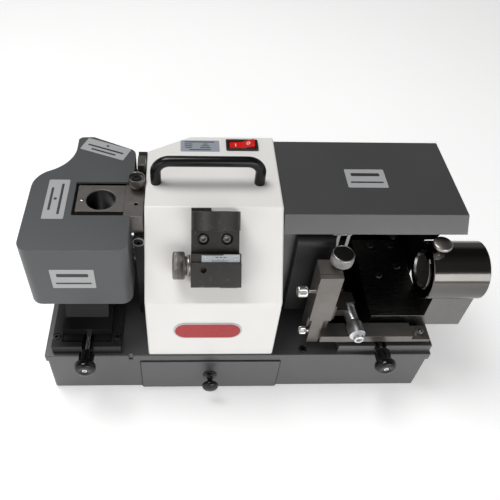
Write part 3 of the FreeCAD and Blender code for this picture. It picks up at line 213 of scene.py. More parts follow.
PLUNGER_STEEL = finish("plunger_steel", (0.36, 0.345, 0.32), 0.34, metal=1.0, mottle=0.12,
                       relief=0.08)
KNURLED = finish("knurled_steel", (0.25, 0.235, 0.22), 0.34, metal=0.9, mottle=0.1,
                 relief=0.1, wear=0.2, wear_colour=(0.42, 0.40, 0.38))
HANDLE_BLACK = finish("handle_black", (0.005, 0.005, 0.005), 0.22, mottle=0.1, relief=0.04,
                      sheen=0.3)


# ---- building meshes ----
def show(name, bm, body, looks, replaced=(), bevel=0.0, steps=2, sharp=38.0):
    """Turn a mesh under construction into a piece of the machine."""
    mesh = bpy.data.meshes.new(name)
    bmesh.ops.recalc_face_normals(bm, faces=bm.faces)
    bm.to_mesh(mesh)
    bm.free()
    piece = bpy.data.objects.new(name, mesh)
    scene.collection.objects.link(piece)
    for look in looks:
        mesh.materials.append(look)
    mesh.polygons.foreach_set("use_smooth", [True] * len(mesh.polygons))
    if bevel:
        soften = piece.modifiers.new("edges", "BEVEL")
        soften.width = bevel * MM
        soften.segments = steps
        soften.limit_method = "ANGLE"
        soften.angle_limit = math.radians(sharp)
        soften.miter_outer = "MITER_ARC"
        even = piece.modifiers.new("shading", "WEIGHTED_NORMAL")
        even.keep_sharp = True
    else:
        mesh.set_sharp_from_angle(angle=math.radians(sharp))
    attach(piece, body)
    if replaced:
        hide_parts(*replaced)
    return piece


def soft_copy(node, width, look, second=None, is_second=None):
    """The CAD shape with its flat faces made whole and its edges rounded. Faces for which
    is_second(middle, normal) holds, in bench millimetres, take the second look."""
    bm = bmesh.new()
    bm.from_mesh(frame["nodes"][node].data)
    bmesh.ops.remove_doubles(bm, verts=bm.verts, dist=1e-6)
    bmesh.ops.dissolve_limit(bm, angle_limit=math.radians(0.4), verts=bm.verts, edges=bm.edges)
    looks = [look]
    if second:
        looks.append(second)
        for face in bm.faces:
            middle = (face.calc_center_median() - ORIGIN) / MM
            face.material_index = int(is_second(middle, face.normal))
    return show(node + "_finished", bm, BODY_OF[node], looks, [node], width)


def add_lathe(bm, place, profile, steps=72, relief=None, closed=False, look=0):
    """Turn a profile of (distance, radius) about local z. A radius may depend on the turn,
    and looks may be listed for each stretch of the profile."""
    rings = []
    for distance, radius in profile:
        ring = []
        for step in range(steps):
            turn = 2 * math.pi * step / steps
            size = radius(turn) if callable(radius) else radius
            if relief:
                size += relief(turn, distance)
            ring.append(bm.verts.new(place @ Vector((size * math.cos(turn),
                                                     size * math.sin(turn), distance))))
        rings.append(ring)
    pairs = list(zip(rings, rings[1:]))
    if closed:
        pairs.append((rings[-1], rings[0]))
    stretch_looks = look if isinstance(look, list) else [look] * len(pairs)
    for (lower, upper), stretch_look in zip(pairs, stretch_looks):
        for step in range(steps):
            other = (step + 1) % steps
            face = bm.faces.new((lower[step], lower[other], upper[other], upper[step]))
            face.material_index = stretch_look
    if not closed:
        bm.faces.new(list(reversed(rings[0]))).material_index = stretch_looks[0]
        bm.faces.new(rings[-1]).material_index = stretch_looks[-1]


def add_prism(bm, place, outline, low, high, look=0):
    """Extrude a flat outline along local z."""
    bottom = [bm.verts.new(place @ Vector((x, y, low))) for x, y in outline]
    top = [bm.verts.new(place @ Vector((x, y, high))) for x, y in outline]
    count = len(outline)
    faces = [bm.faces.new(list(reversed(bottom))), bm.faces.new(top)]
    for index in range(count):
        other = (index + 1) % count
        faces.append(bm.faces.new((bottom[index], bottom[other], top[other], top[index])))
    for face in faces:
        face.material_index = look


def rectangle(width, height, radius=0.0, centre=(0.0, 0.0), corner_steps=5):
    """A rectangle's outline, with rounded corners if a radius is given."""
    half_x, half_y = width / 2 - radius, height / 2 - radius
    points = []
    for quarter, (sx, sy) in enumerate(((1, 1), (-1, 1), (-1, -1), (1, -1))):
        count = corner_steps if radius else 0
        for step in range(count + 1):
            turn = math.radians(90 * quarter + (90 * step / count if count else 0))
            points.append((centre[0] + sx * half_x + radius * math.cos(turn),
                           centre[1] + sy * half_y + radius * math.sin(turn)))
    return points


def hexagon(flat):
    """Radius of a hexagon, flat to the middle, as a function of the turn."""
    sixth = math.pi / 3
    return lambda turn: flat / math.cos((turn % sixth) - sixth / 2)


def band(start, end, radius, row):
    """Closely spaced rows of one radius, for relief to work on."""
    count = max(2, round((end - start) / row))
    return [(start + (end - start) * index / count, radius) for index in range(count + 1)]


def straight_knurl(teeth, depth, start, end):
    """Relief of grooves along the axis, between two distances."""
    def relief(turn, distance):
        inside = start <= distance <= end
        return -depth * (0.5 + 0.5 * math.cos(turn * teeth)) if inside else 0.0
    return relief


def diamond_knurl(teeth, pitch, depth, start, end):
    """Relief of two sets of crossing grooves, between two distances."""
    def groove(value):
        return max(0.0, 1.0 - 2.0 * abs(2.0 * (value % 1.0) - 1.0))

    def relief(turn, distance):
        if not start <= distance <= end:
            return 0.0
        round_way = turn * teeth / (2 * math.pi)
        long_way = distance / pitch
        return -depth * max(groove(round_way + long_way), groove(round_way - long_way))
    return relief


# ---- CAD shapes kept, with rounded edges ----
EDGE_WIDTHS = {
    "base_casing": 0.8, "base_top_plate": 0.7, "base_bottom_plate": 0.3,
    "drawer_tray": 0.7, "drawer_runners": 0.3, "centre_cover": 0.5, "left_frame_plate": 0.6,
    "right_frame_wall": 0.5, "wheel_guard": 0.4, "drill_cover": 1.3, "drill_port_block": 0.4,
    "drill_port_arm": 0.4, "cover_locator": 0.5, "drill_slide_base": 0.5,
    "thinning_carriage": 0.4, "thinning_port_block": 0.5, "setter_body": 0.35,
    "setter_slide": 0.45, "mill_slide_base": 0.5, "mill_carriage": 0.4, "fence_disc": 0.3,
    "guide_bar": 0.35, "fence_column": 0.4, "micrometer_holder": 0.5, "sleeve_stand": 0.5,
    "hood": 0.35, "switch_bezel": 0.4, "switch_rocker": 0.7, "cable_gland": 0.4,
    "drill_wheel": 0.5, "mill_wheel": 0.5, "wheel_nuts": 0.5, "motor_cradle": 0.5,
    "motor_housing": 0.4, "motor_end_bells": 0.5, "sleeve_housing": 0.9,
}
DRILL_PORT = Vector((72.6, 90.5))
DRILL_PORT_RADIUS = 15.0
HOOD_WALL_MIDDLE = 453.2
HOOD_FRONT_REGION = 70.0
OWN_LOOKS = {"thinning_port_block": LOOKS["screw_black"], "sleeve_stand": STAND_BLACK,
             "micrometer_holder": DARK_STEEL, "thinning_carriage": MATTE_BLACK,
             "drill_slide_base": MATTE_BLACK, "wheel_guard": MATTE_BLACK,
             "left_frame_plate": MATTE_BLACK, "wheel_nuts": DARK_CHROME}


def drill_bore_painted_shade(middle, normal):
    """Upright faces of the drill port's bore, which take a dark look as painted shade inside the
    bore.
    """
    return abs(normal.z) < 0.5 and (middle.xy - DRILL_PORT).length < DRILL_PORT_RADIUS + 0.3


def hood_painted_shade(middle, normal):
    """Undersides, the end wall's inner side and the back of the front panel: the faces under the
    hood that take a black look as painted shade.
    """
    under = normal.z < -0.5
    end_wall = middle.x < HOOD_WALL_MIDDLE and normal.x < -0.5
    return under or end_wall or (normal.y > 0.5 and middle.y < HOOD_FRONT_REGION)


# The drill port's bore and the faces inside the hood take dark looks as painted shade.
SECOND_LOOKS = {"drill_port_block": (LOOKS["screw_black"], drill_bore_painted_shade),
                "hood": (LOOKS["black_coat"], hood_painted_shade)}
for node, width in EDGE_WIDTHS.items():
    look = OWN_LOOKS.get(node, LOOKS[SLOT_OF[node]])
    soft_copy(node, width, look, *SECOND_LOOKS.get(node, ()))

KEPT = ["rubber_feet", "motor_bearings", "motor_shaft", "drill_feed_screw", "mill_feed_screw",
        "micrometer_spindle", "hood_hinge_pins"]
for node in KEPT:
    kept = frame["nodes"][node]
    kept.data.materials.clear()
    kept.data.materials.append(DARK_STEEL if node == "motor_shaft" else LOOKS[SLOT_OF[node]])


# ---- screws with hexagon sockets ----
def add_cap_screw(bm, place, shank):
    """Socket cap screw whose head stands on the local plane z = 0."""
    add_lathe(bm, place, [(-shank, 1.6), (-shank + 0.9, 2.5), (0.0, 2.5), (0.0, 4.25),
                          (4.5, 4.25), (5.0, 3.75), (5.0, hexagon(2.05)), (2.2, hexagon(2.0)),
                          (2.0, hexagon(0.3))], steps=48)


SLIDE_SCREW_SEAT = 83.4
SLIDE_SCREWS_X = (13.7, 83.4, 343.4, 443.6)
SLIDE_SCREWS_Y = (18.0, 160.0)
FLOOR_SCREW = (299.0, 8.6, 70.5)
STAND_SCREWS = ((398.0, 91.0), (424.0, 105.0), (398.0, 140.0), (424.0, 140.0))
STAND_SCREW_SEAT = 107.0
BAR_SCREW = (432.0, 15.5, 98.0)
SETTER_SCREWS = ((179.2, 68.0), (203.0, 68.0))
SETTER_SCREW_SEAT = 6.5


def screws(name, places, shank, body, look):
    """Replace one group of CAD screws, one at each place."""
    bm = bmesh.new()
    for place in places:
        add_cap_screw(bm, place, shank)
    return show(name + "_finished", bm, body, [look], [name])


screws("frame_screws",
       [along((x, y, SLIDE_SCREW_SEAT), UP) for x in SLIDE_SCREWS_X for y in SLIDE_SCREWS_Y]
       + [along(FLOOR_SCREW, UP)], 5.0, "machine", LOOKS["screw_black"])
screws("carriage_screws",
       [along((x, y, STAND_SCREW_SEAT), UP) for x, y in STAND_SCREWS]
       + [along(BAR_SCREW, UP)], 4.5, "mill_slide", DARK_CHROME)
screws("setter_screws",
       [SLOPE @ Matrix.Translation((x, s, SETTER_SCREW_SEAT)) for x, s in SETTER_SCREWS],
       6.3, "machine", DARK_CHROME)


# ---- knobs ----
FEED_KNOB_FRONT = -26.5
FEED_KNOB_HEIGHT = 85.0
FEED_KNOB_FLUTES = 8
FLUTE_DEPTH = 1.7
FLUTE_START = 12.6
FLUTE_RUN_IN = 1.6
NECK_END = 25.0


def feed_knob(name, body, x):
    """Gloss black knob with a wide rim, a fluted neck and a bright insert."""
    place = along((x, FEED_KNOB_FRONT, FEED_KNOB_HEIGHT), BACK)
    bm = bmesh.new()
    rim = [(1.6, 1.8), (1.6, 3.6), (0.5, 4.6), (0.15, 6.5), (0.3, 9.0), (0.8, 10.4),
           (1.8, 11.4), (3.2, 11.9), (5.0, 12.0), (7.4, 11.95), (8.8, 11.6), (10.0, 10.8),
           (11.0, 9.7), (12.2, 8.9), (13.5, 8.6)]
    neck = band(14.0, 24.5, 8.6, 1.2) + [(NECK_END, 8.0), (NECK_END, 3.1)]

    def flutes(turn, distance):
        if distance >= NECK_END:
            return 0.0
        share = min(1.0, max(0.0, (distance - FLUTE_START) / FLUTE_RUN_IN))
        return -FLUTE_DEPTH * share * max(0.0, math.cos(turn * FEED_KNOB_FLUTES)) ** 1.5

    add_lathe(bm, place, rim + neck, 96, flutes)
    show(name + "_finished", bm, body, [LOOKS["black_knob"]], [name], sharp=50.0)
    bm = bmesh.new()
    add_lathe(bm, place, [(1.7, 3.0), (1.1, 3.0), (0.8, 2.6), (0.8, hexagon(1.2)),
                          (1.3, hexagon(1.1))], 48)
    show(name + "_insert", bm, body, [LOOKS["bright_steel"]])


feed_knob("drill_feed_knob", "drill_feed", 50.0)
feed_knob("mill_feed_knob", "mill_feed", 388.0)


def drawer_knob():
    """Gloss black knob turned to a mushroom shape."""
    place = along((191.0, -1.4, 34.0), -BACK)
    profile = [(0.0, 8.5), (1.0, 8.5), (1.6, 8.0), (2.2, 6.2), (3.4, 4.2), (5.2, 3.4),
               (8.0, 3.15), (9.8, 3.4), (11.0, 5.0), (12.0, 7.8), (13.0, 9.1), (14.6, 9.75),
               (16.2, 9.5), (17.6, 8.7), (18.8, 7.0), (19.6, 4.6), (20.0, 2.0), (20.05, 0.3)]
    bm = bmesh.new()
    add_lathe(bm, place, profile, 72)
    show("drawer_knob_finished", bm, "drawer", [LOOKS["black_knob"]], ["drawer_knob"],
         sharp=60.0)


drawer_knob()


def setter_knob():
    """Diamond-knurled head, a shiny collar and the screw that runs in the body's nut."""
    teeth = 54
    radius = 14.0
    knurl_start, knurl_end = 1.4, 11.0
    pitch = 2 * math.pi * radius / teeth
    place = SLOPE @ Matrix.Translation((148.2, 41.5, 16.0)) @ Matrix.Rotation(math.pi / 2, 4, "Y")
    profile = [(1.3, 0.5), (1.3, 5.6), (0.2, 6.2), (0.0, 7.0), (0.0, 12.2), (0.5, 13.2),
               (1.1, 13.9)]
    profile += band(knurl_start, knurl_end, radius, pitch / 4)
    profile += [(11.3, 13.9), (12.0, 13.3), (12.4, 12.4), (12.4, 9.8), (13.0, 9.5), (14.0, 9.9),
                (14.8, 10.7), (15.8, 11.0), (17.2, 11.0), (17.9, 10.6), (17.9, 3.0),
                (53.8, 3.0)]
    bm = bmesh.new()
    add_lathe(bm, place, profile, teeth * 4,
              diamond_knurl(teeth, pitch, 0.7, knurl_start, knurl_end))
    # Faces in the knurl's hollows take the dark look: painted shade in the grooves.
    to_knob = place.inverted()
    for face in bm.faces:
        middle = to_knob @ face.calc_center_median()
        if knurl_start < middle.z < knurl_end and middle.xy.length < radius - 0.3:
            face.material_index = 1
    show("setter_knob_finished", bm, "setter_dial", [KNURLED, LOOKS["screw_black"]],
         ["setter_knob"])


setter_knob()


def height_knob():
    """Conical underside, a bright knurled rim and a dark flat top."""
    place = along((321.0, 28.0, 202.3), UP)
    bm = bmesh.new()
    profile = [(-89.0, 3.0), (0.0, 3.0), (0.0, 5.9), (0.4, 6.2), (3.0, 6.2), (7.6, 11.3),
               (8.2, 11.6)] + band(8.6, 18.4, 11.8, 3.0) + [(18.8, 11.6), (19.7, 10.9),
                                                            (20.0, 10.3), (19.6, 10.1)]
    add_lathe(bm, place, profile, 360, straight_knurl(72, 0.35, 8.5, 18.5))
    add_lathe(bm, place, [(19.55, 10.1), (19.65, 10.0), (19.75, 3.0), (19.75, 0.4)], 72, look=1)
    show("fence_height_knob_finished", bm, "height_dial",
         [DARK_CHROME, LOOKS["black_coat"]], ["fence_height_knob"])


height_knob()


def thumb_screw(name, body, place_yz, face_x, radius, head, neck):
    """Straight-knurled head with a dished end, on a plain shank."""
    place = along((face_x - neck - head, *place_yz), RIGHT)
    bm = bmesh.new()
    profile = [(0.8, 0.3), (0.8, radius * 0.55), (0.1, radius * 0.68), (0.0, radius - 0.9),
               (0.5, radius - 0.3)] + band(0.9, head - 0.9, radius, 2.0)
    profile += [(head - 0.5, radius - 0.3), (head, radius - 0.9), (head, 2.9),
                (head + 0.9, 2.2), (head + 1.6, 2.0), (head + neck + 7.2, 2.0),
                (head + neck + 8.0, 1.3)]
    add_lathe(bm, place, profile, 144, straight_knurl(36, 0.3, 0.8, head - 0.8))
    show(name + "_finished", bm, body, [LOOKS["bright_steel"]], [name])


thumb_screw("upper_thumb_screw", "upper_thumb", (24.0, 165.0), 299.0, 6.2, 11.0, 6.5)
thumb_screw("lower_thumb_screw", "lower_thumb", (15.0, 105.0), 302.0, 4.6, 8.0, 3.5)


def clamp_knob():
    """Flared knob with a cup, and a socket screw at the bottom of the cup."""
    place = along((109.5, 109.0, 236.3), UP)
    bm = bmesh.new()
    profile = [(-15.3, 3.0), (0.0, 3.0), (0.0, 4.9), (0.4, 5.2), (7.0, 8.5), (7.8, 8.8),
               (15.0, 8.8), (15.5, 8.4), (15.5, 7.7), (14.9, 7.3), (12.5, 7.1), (12.3, 0.3)]
    add_lathe(bm, place, profile, 96)
    cup = place @ Matrix.Translation((0, 0, 12.3))
    add_lathe(bm, cup, [(0.0, 5.4), (1.6, 5.4), (2.2, 5.0), (2.2, hexagon(2.6)),
                        (0.6, hexagon(2.4)), (0.5, hexagon(0.4))], 120,
              straight_knurl(30, 0.35, -0.1, 1.7), look=1)
    show("port_clamp_knob_finished", bm, "port_clamp",
         [LOOKS["ground_steel"], LOOKS["screw_black"]], ["port_clamp_knob"])


clamp_knob()


def index_plunger():
    """Pull pin whose flat-topped head flares from a thin neck."""
    place = along((430.0, 46.0, 195.5), UP)
    bm = bmesh.new()
    profile = [(0.0, 1.8), (0.8, 2.5), (10.4, 2.5), (10.4, 3.0), (11.0, 3.4), (12.2, 3.5),
               (14.0, 5.0), (16.5, 7.9), (18.6, 9.8), (19.6, 10.2), (21.4, 10.2), (22.4, 9.7),
               (23.0, 8.8), (23.0, 0.4)]
    add_lathe(bm, place, profile, 96)
    show("index_plunger_finished", bm, "index_pin", [PLUNGER_STEEL],
         ["index_plunger"], sharp=50.0)


index_plunger()


def index_sleeve():
    """Dark sleeve with a bright mouth and a satin bore for the collet chuck."""
    bm = bmesh.new()
    profile = [(0.0, 19.5), (0.0, 21.2), (0.8, 22.0), (63.2, 22.0), (64.0, 21.2), (64.0, 18.0),
               (63.5, 17.5), (2.0, 17.5)]
    looks = [0, 0, 0, 0, 0, 2, 2, 1]
    add_lathe(bm, along((420.5, 48.0, 173.0), RIGHT), profile, 96, closed=True, look=looks)
    show("index_sleeve_finished", bm, "indexer",
         [LOOKS["polished_black"], LOOKS["bright_steel"], LOOKS["ground_steel"]],
         ["index_sleeve"])


index_sleeve()


# ---- carrying handle ----
HANDLE_BEND_STEPS = 10
HANDLE_SIDES = 32


def carry_handle():
    """Round bar bent into a bridge, with a short foot at each end."""
    left, right, y = 129.8, 240.1, 108.0
    foot, top, bend, radius = 244.6, 273.5, 15.0, 5.7
    path = [(left, foot)]
    for centre_x, start in ((left + bend, 180), (right - bend, 90)):
        for step in range(HANDLE_BEND_STEPS + 1):
            turn = math.radians(start - 90 * step / HANDLE_BEND_STEPS)
            path.append((centre_x + bend * math.cos(turn), top - bend + bend * math.sin(turn)))
    path.append((right, foot))
    bm = bmesh.new()
    rings = []
    for index, (x, z) in enumerate(path):
        before, after = path[max(index - 1, 0)], path[min(index + 1, len(path) - 1)]
        heading = Vector((after[0] - before[0], 0, after[1] - before[1])).normalized()
        across = BACK.cross(heading)
        ring = []
        for step in range(HANDLE_SIDES):
            turn = 2 * math.pi * step / HANDLE_SIDES
            spot = (Vector((x, y, z)) + radius * (math.cos(turn) * BACK
                                                  + math.sin(turn) * across))
            ring.append(bm.verts.new(spot * MM + ORIGIN))
        rings.append(ring)
    for lower, upper in zip(rings, rings[1:]):
        for step in range(HANDLE_SIDES):
            other = (step + 1) % HANDLE_SIDES
            bm.faces.new((lower[step], lower[other], upper[other], upper[step]))
    bm.faces.new(rings[0])
    bm.faces.new(list(reversed(rings[-1])))
    show("carry_handle_finished", bm, "machine", [HANDLE_BLACK], ["carry_handle"])


carry_handle()


# ---- micrometer ----
MICROMETER_NOSE = (355.0, -5.0, 113.0)
MICROMETER_TURN = math.radians(5.5)
MICROMETER_AXIS = Vector((-math.sin(MICROMETER_TURN), math.cos(MICROMETER_TURN), 0))
BARREL_RADIUS = 7.2
BARREL_TICKS = 14
BARREL_SCALE_START = 27.0
THIMBLE_TICKS = 50
THIMBLE_EDGE = 24.5
THIMBLE_LEAN = math.atan2(1.4, 3.0)
GRADUATION = 0.05


def micrometer():
    """Thimble and barrel, with graduations but no figures."""
    place = along(MICROMETER_NOSE, MICROMETER_AXIS)
    bm = bmesh.new()
    outside = [(0.3, 3.6), (0.0, 4.2), (0.0, 4.6), (0.6, 5.4), (1.1, 5.75)]
    outside += band(1.4, 5.6, 5.8, 1.2) + [(6.0, 5.5), (6.4, 5.5), (6.7, 8.6), (7.3, 9.1)]
    outside += [(11.0, 9.1), (21.5, 9.1), (THIMBLE_EDGE, 7.7), (THIMBLE_EDGE, 7.35),
                (8.4, 7.35), (8.4, 3.3), (0.3, 3.3)]
    add_lathe(bm, place, outside, 240, straight_knurl(40, 0.25, 1.3, 5.7), closed=True)
    for tick in range(THIMBLE_TICKS):
        reach = 2.4 if tick % 5 else 3.3
        spot = (place @ Matrix.Rotation(2 * math.pi * tick / THIMBLE_TICKS, 4, "Z")
                @ Matrix.Translation((7.7, 0, THIMBLE_EDGE))
                @ Matrix.Rotation(math.pi - THIMBLE_LEAN, 4, "Y"))
        add_prism(bm, spot, rectangle(0.16, 0.24), 0.1, reach, look=1)
    show("micrometer_thimble_finished", bm, "micrometer_dial", [LOOKS["satin_chrome"], INK],
         ["micrometer_thimble"])

    bm = bmesh.new()
    add_lathe(bm, place, [(11.0, 7.0), (11.3, BARREL_RADIUS), (44.0, BARREL_RADIUS),
                          (44.0, 7.6), (45.0, 7.6), (45.0, BARREL_RADIUS),
                          (47.0, BARREL_RADIUS), (47.0, 6.5), (63.6, 6.5), (64.0, 6.1),
                          (64.0, 3.3), (11.0, 3.3)], 96, closed=True)
    line = (place @ Matrix.Translation((0, BARREL_RADIUS, BARREL_SCALE_START))
            @ Matrix.Rotation(math.radians(-90), 4, "X"))
    add_prism(bm, line, rectangle(0.22, 14.0, centre=(0.0, -7.0)), -0.2, GRADUATION, look=1)
    for tick in range(BARREL_TICKS):
        length = 2.4 if tick % 5 == 0 else 1.4
        side = length / 2 if tick % 2 == 0 else -length / 2
        add_prism(bm, line, rectangle(length, 0.2, centre=(side, -0.5 - tick)), -0.4,
                  GRADUATION, look=1)
    show("micrometer_barrel_finished", bm, "fence_lift", [LOOKS["satin_chrome"], INK],
         ["micrometer_barrel"])


micrometer()


# ---- setting gauge scale ----
GAUGE_TICKS = 15
GAUGE_SPACING = 1.1
GAUGE_SCALE_START = -8.4
GAUGE_SCALE_FOOT = -3.4


def gauge_scale():
    """Scale plate with two rivets and plain tick marks."""
    bm = bmesh.new()
    place = SLOPE @ Matrix.Translation((196.1, 49.45, 23.0))
    step = [(-18.9, -3.85), (18.9, -3.85), (18.9, 3.85), (3.0, 3.85), (2.0, 2.9), (-18.9, 2.9)]
    plate, print_top = 0.8, 0.86
    add_prism(bm, place, step, 0.0, plate)
    for x in (-15.0, 14.0):
        add_lathe(bm, place @ Matrix.Translation((x, -0.3, plate)),
                  [(0.0, 1.35), (0.35, 1.15), (0.6, 0.6), (0.65, 0.1)], 24, look=2)
    for tick in range(GAUGE_TICKS):
        height = 3.0 if tick % 5 == 0 else 1.8
        middle = (GAUGE_SCALE_START + GAUGE_SPACING * tick, GAUGE_SCALE_FOOT + height / 2)
        add_prism(bm, place, rectangle(0.32, height, centre=middle), plate, print_top, look=1)
    for bar in (-4.0, 0.0, 4.0):
        add_prism(bm, place, rectangle(2.6, 0.7, centre=(bar, 1.1)), plate, print_top, look=1)
    show("setter_scale_finished", bm, "setter_stop",
         [LOOKS["scale_metal"], INK, LOOKS["bright_steel"]], ["setter_scale"],
         bevel=0.12)


gauge_scale()


# ---- labels and plates, with plain bars where print would be ----
LABEL_THICKNESS = 0.25


def label(name, place, size, bars, body, look=LABEL, ink=INK, corner=1.2):
    """A thin film with bars given as (x, y, width, height) from its middle."""
    bm = bmesh.new()
    add_prism(bm, place, rectangle(*size, corner), -0.1, LABEL_THICKNESS)
    for x, y, width, height in bars:
        add_prism(bm, place, rectangle(width, height, min(width, height) * 0.3, (x, y)),
                  LABEL_THICKNESS - 0.05, LABEL_THICKNESS + 0.05, look=1)
    show(name, bm, body, [look, ink])


label("hood_label", facing((359.0, 122.0, 240.0), RIGHT, BACK), (44.0, 30.0),
      [(0.0, 6.0, 32.0, 5.0), (0.0, -6.5, 36.0, 2.4)], "mill_hood")
label("drill_front_label", facing((48.0, 15.0, 197.2), RIGHT, UP), (44.0, 29.0),
      [(0.0, 5.5, 32.0, 5.0), (0.0, -7.0, 36.0, 2.4)], "drill_hood")
label("drill_side_label", facing((27.5, 87.0, 240.0), -BACK, RIGHT), (59.0, 22.0),
      [(0.0, 4.5, 46.0, 2.6), (0.0, -1.0, 3.2, 3.2), (0.0, -5.5, 34.0, 2.6)], "drill_hood")
REAR_LABEL_TURN = math.radians(-22.4)
label("drill_rear_label",
      facing((70.8, 169.3, 240.0), Vector((math.cos(REAR_LABEL_TURN),
                                           math.sin(REAR_LABEL_TURN), 0)),
             Vector((-math.sin(REAR_LABEL_TURN), math.cos(REAR_LABEL_TURN), 0))),
      (54.0, 21.0), [(0.0, 0.0, 44.0, 2.4), (0.0, 5.6, 3.0, 3.0), (0.0, -5.6, 30.0, 2.4)],
      "drill_hood")

RATING_ROWS = [(-0.5, 7.2, 34.0, 1.6), (-13.0, 3.4, 9.0, 1.3), (6.0, 3.4, 5.0, 1.3),
               (-13.0, 0.2, 9.0, 1.3), (6.0, 0.2, 9.0, 1.3), (-13.0, -3.0, 7.0, 1.3),
               (6.0, -3.0, 12.0, 1.3), (0.0, -6.8, 24.0, 1.5)]
label("rating_plate", facing((177.5, 169.9, 245.0), RIGHT, BACK), (44.0, 20.0), RATING_ROWS,
      "machine", look=PLATE)


def badge():
    """A plain enamelled name plate with nothing on it, in a bright rim."""
    place = facing((185.8, 2.0, 123.75), RIGHT, UP)
    bm = bmesh.new()
    add_prism(bm, place, rectangle(75.0, 28.4, 14.1, corner_steps=16), -0.2, 0.9)
    add_prism(bm, place, rectangle(71.6, 25.0, 12.4, corner_steps=16), 0.85, 1.1, look=1)
    show("front_badge", bm, "machine", [LOOKS["scale_metal"], BADGE_RED],
         bevel=0.3)


badge()


# ---- small fittings ----
def rocker_marks():
    """The usual line and ring of a power switch."""
    place = facing((225.25, 171.0, 243.0), RIGHT, BACK)
    bm = bmesh.new()
    line = place @ Matrix.Translation((-7.2, 0, 2.95))
    add_prism(bm, line, rectangle(0.9, 5.0, 0.3), -0.25, 0.25)
    ring = place @ Matrix.Translation((7.0, 0, 5.9)) @ Matrix.Rotation(math.radians(-20), 4, "Y")
    add_lathe(bm, ring, [(-0.4, 2.3), (0.2, 2.3), (0.2, 1.5), (-0.4, 1.5)], 32, closed=True)
    show("rocker_marks", bm, "rocker", [PALE_INK])


rocker_marks()


def chamber_straps():
    """Two dark chrome straps and their bridge, behind the height knob."""
    bm = bmesh.new()
    strap_foot, strap_top = 196.0, 222.0
    for x in (321.0, 331.5):
        place = facing((x, 55.0, 0.0), RIGHT, UP)
        middle = (0.0, (strap_top + strap_foot) / 2)
        add_prism(bm, place, rectangle(3.6, strap_top - strap_foot, 0.8, middle), 0.0, 1.2)
    bridge = facing((325.0, 56.0, strap_top - 2.0), RIGHT, BACK)
    add_prism(bm, bridge, rectangle(20.0, 3.0, 0.6), 0.0, 1.6)
    show("chamber_straps", bm, "machine", [DARK_CHROME], bevel=0.25)


chamber_straps()


def boss_ring():
    """Ring and socket screw on the boss of the left frame plate."""
    bm = bmesh.new()
    boss = along((111.6, 61.8, 204.0), -BACK)
    add_lathe(bm, boss, [(0.0, 6.9), (2.2, 6.9), (2.9, 6.2), (2.9, 5.2), (0.0, 5.2)], 48,
              closed=True, look=[0, 0, 0, 1, 1])
    add_lathe(bm, boss, [(0.0, 5.0), (3.0, 5.0), (3.6, 4.2), (3.6, hexagon(2.2)),
                         (1.2, hexagon(2.0))], 48, look=1)
    show("frame_boss_ring", bm, "machine", [DARK_CHROME, MATTE_BLACK])


boss_ring()


def chamber_shade_plate():
    """Thin plate that closes the grinding chamber behind the sleeve, made black as painted shade
    for the chamber's dark inside.
    """
    outline = [(116.0, 75.2), (179.8, 75.2), (179.8, 199.0), (92.0, 199.0), (92.0, 181.0),
               (96.0, 170.0), (116.0, 148.0)]
    bm = bmesh.new()
    add_prism(bm, facing((450.2, 0.0, 0.0), BACK, UP), outline, 0.0, 1.5)
    show("chamber_shade_plate", bm, "machine", [MATTE_BLACK], bevel=0.3)


chamber_shade_plate()


def port_details():
    """Set screw beside the drill port and the locating pin inside its bore."""
    bm = bmesh.new()
    add_lathe(bm, along((53.0, 90.0, 235.6), UP),
              [(0.0, 2.0), (0.7, 2.0), (0.9, 1.7), (0.9, hexagon(0.9)), (0.2, hexagon(0.8))], 48)
    add_lathe(bm, along((72.6, 76.4, 226.0), BACK),
              [(-1.5, 2.4), (1.6, 2.4), (2.6, 1.6), (2.9, 0.3)], 32)
    show("port_fittings", bm, "machine", [LOOKS["bright_steel"]])


port_details()


def drawer_gap_shade():
    """Thin dark strips on the casing round the drawer's front, painted shade that stands in for the
    shadow in the drawer's gap.
    """
    low, high = (Vector(corner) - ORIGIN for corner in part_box("drawer_tray"))
    left, right, bottom, top = low.x / MM, high.x / MM, low.z / MM, high.z / MM
    width, sunk, proud = 0.9, -0.1, 0.25
    place = facing((0.0, 0.0, 0.0), RIGHT, UP)
    bm = bmesh.new()
    for x in (left - width, right):
        add_prism(bm, place, [(x, bottom), (x + width, bottom), (x + width, top), (x, top)],
                  sunk, proud)
    add_prism(bm, place, [(left - width, top), (right + width, top), (right + width, top + width),
                          (left - width, top + width)], sunk, proud)
    show("drawer_gap_shade", bm, "machine", [LOOKS["rubber"]])


drawer_gap_shade()


# ---- floor, light and camera ----
FLOOR_WHITE = (0.90, 0.90, 0.90)
FLOOR_GLOW = 0.36
CAMERA_PLACE = (-0.08075, -0.44455, 0.6541)
CAMERA_TURN_DEGREES = (41.943, -1.726, -1.391)
CAMERA_LENS = 41.645
CAMERA_SHIFT = 0.085


def floor():
    """Plain pale floor that glows a little, so that it stays even."""
    bm = bmesh.new()
    reach = 4.0
    bm.faces.new([bm.verts.new((x, y, 0.0)) for x, y in
                  ((-reach, -reach), (reach, -reach), (reach, reach), (-reach, reach))])
    mesh = bpy.data.meshes.new("floor")
    bm.to_mesh(mesh)
    bm.free()
    look = finish("pale_floor", FLOOR_WHITE, 0.6, mottle=0.01, cloud=2.0, relief=0.02)
    shader = look.node_tree.nodes["Principled BSDF"]
    shader.inputs["Emission Color"].default_value = (1.0, 1.0, 1.0, 1.0)
    shader.inputs["Emission Strength"].default_value = FLOOR_GLOW
    mesh.materials.append(look)
    made = bpy.data.objects.new("floor", mesh)
    scene.collection.objects.link(made)


floor()


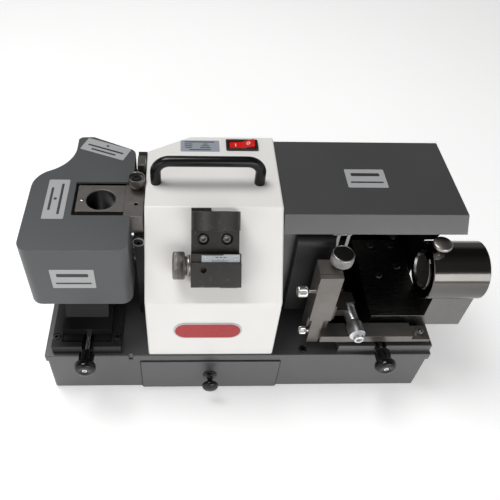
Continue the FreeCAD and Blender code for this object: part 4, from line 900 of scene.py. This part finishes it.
def soft_light(name, place, target, width, height, power):
    """Rectangular lamp at a place, turned to a target, in metres and watts."""
    lamp = bpy.data.lights.new(name, "AREA")
    lamp.shape = "RECTANGLE"
    lamp.size = width
    lamp.size_y = height
    lamp.energy = power
    made = bpy.data.objects.new(name, lamp)
    made.location = place
    made.rotation_euler = (Vector(target) - Vector(place)).to_track_quat("-Z", "Y").to_euler()
    scene.collection.objects.link(made)


soft_light("front_light", (0.75, -1.9, 0.75), (0.05, 0.0, 0.1), 1.5, 0.9, 13.0)
soft_light("left_fill", (-1.3, -1.2, 0.9), (0.0, 0.0, 0.1), 0.8, 0.8, 3.0)
soft_light("key_light", (-0.55, 0.25, 1.75), (0.0, 0.0, 0.15), 0.9, 0.9, 21.0)


def studio_sky():
    """Soft surround, brighter low down and towards the front."""
    world = bpy.data.worlds.new("studio")
    scene.world = world
    world.use_nodes = True
    sky = world.node_tree
    background = sky.nodes["Background"]
    direction = sky.nodes.new("ShaderNodeTexCoord")
    split = sky.nodes.new("ShaderNodeSeparateXYZ")
    sky.links.new(direction.outputs["Generated"], split.inputs["Vector"])
    height = between(sky, split.outputs["Z"], 0.75, 0.10, 0.40, 0.60)
    front = between(sky, split.outputs["Y"], 1.0, 0.35, -0.3, 0.3)
    both = sky.nodes.new("ShaderNodeMath")
    both.operation = "MULTIPLY"
    sky.links.new(height, both.inputs[0])
    sky.links.new(front, both.inputs[1])
    sky.links.new(both.outputs["Value"], background.inputs["Strength"])
    background.inputs["Color"].default_value = (1.0, 0.99, 0.975, 1.0)


studio_sky()


def main_camera():
    """Camera above the front left, looking down at the machine."""
    data = bpy.data.cameras.new("camera")
    data.sensor_width = 36.0
    data.lens = CAMERA_LENS
    data.shift_x = CAMERA_SHIFT
    camera = bpy.data.objects.new("camera", data)
    camera.location = CAMERA_PLACE
    camera.rotation_euler = tuple(math.radians(angle) for angle in CAMERA_TURN_DEGREES)
    scene.collection.objects.link(camera)
    scene.camera = camera


main_camera()
scene.view_settings.view_transform = "Standard"
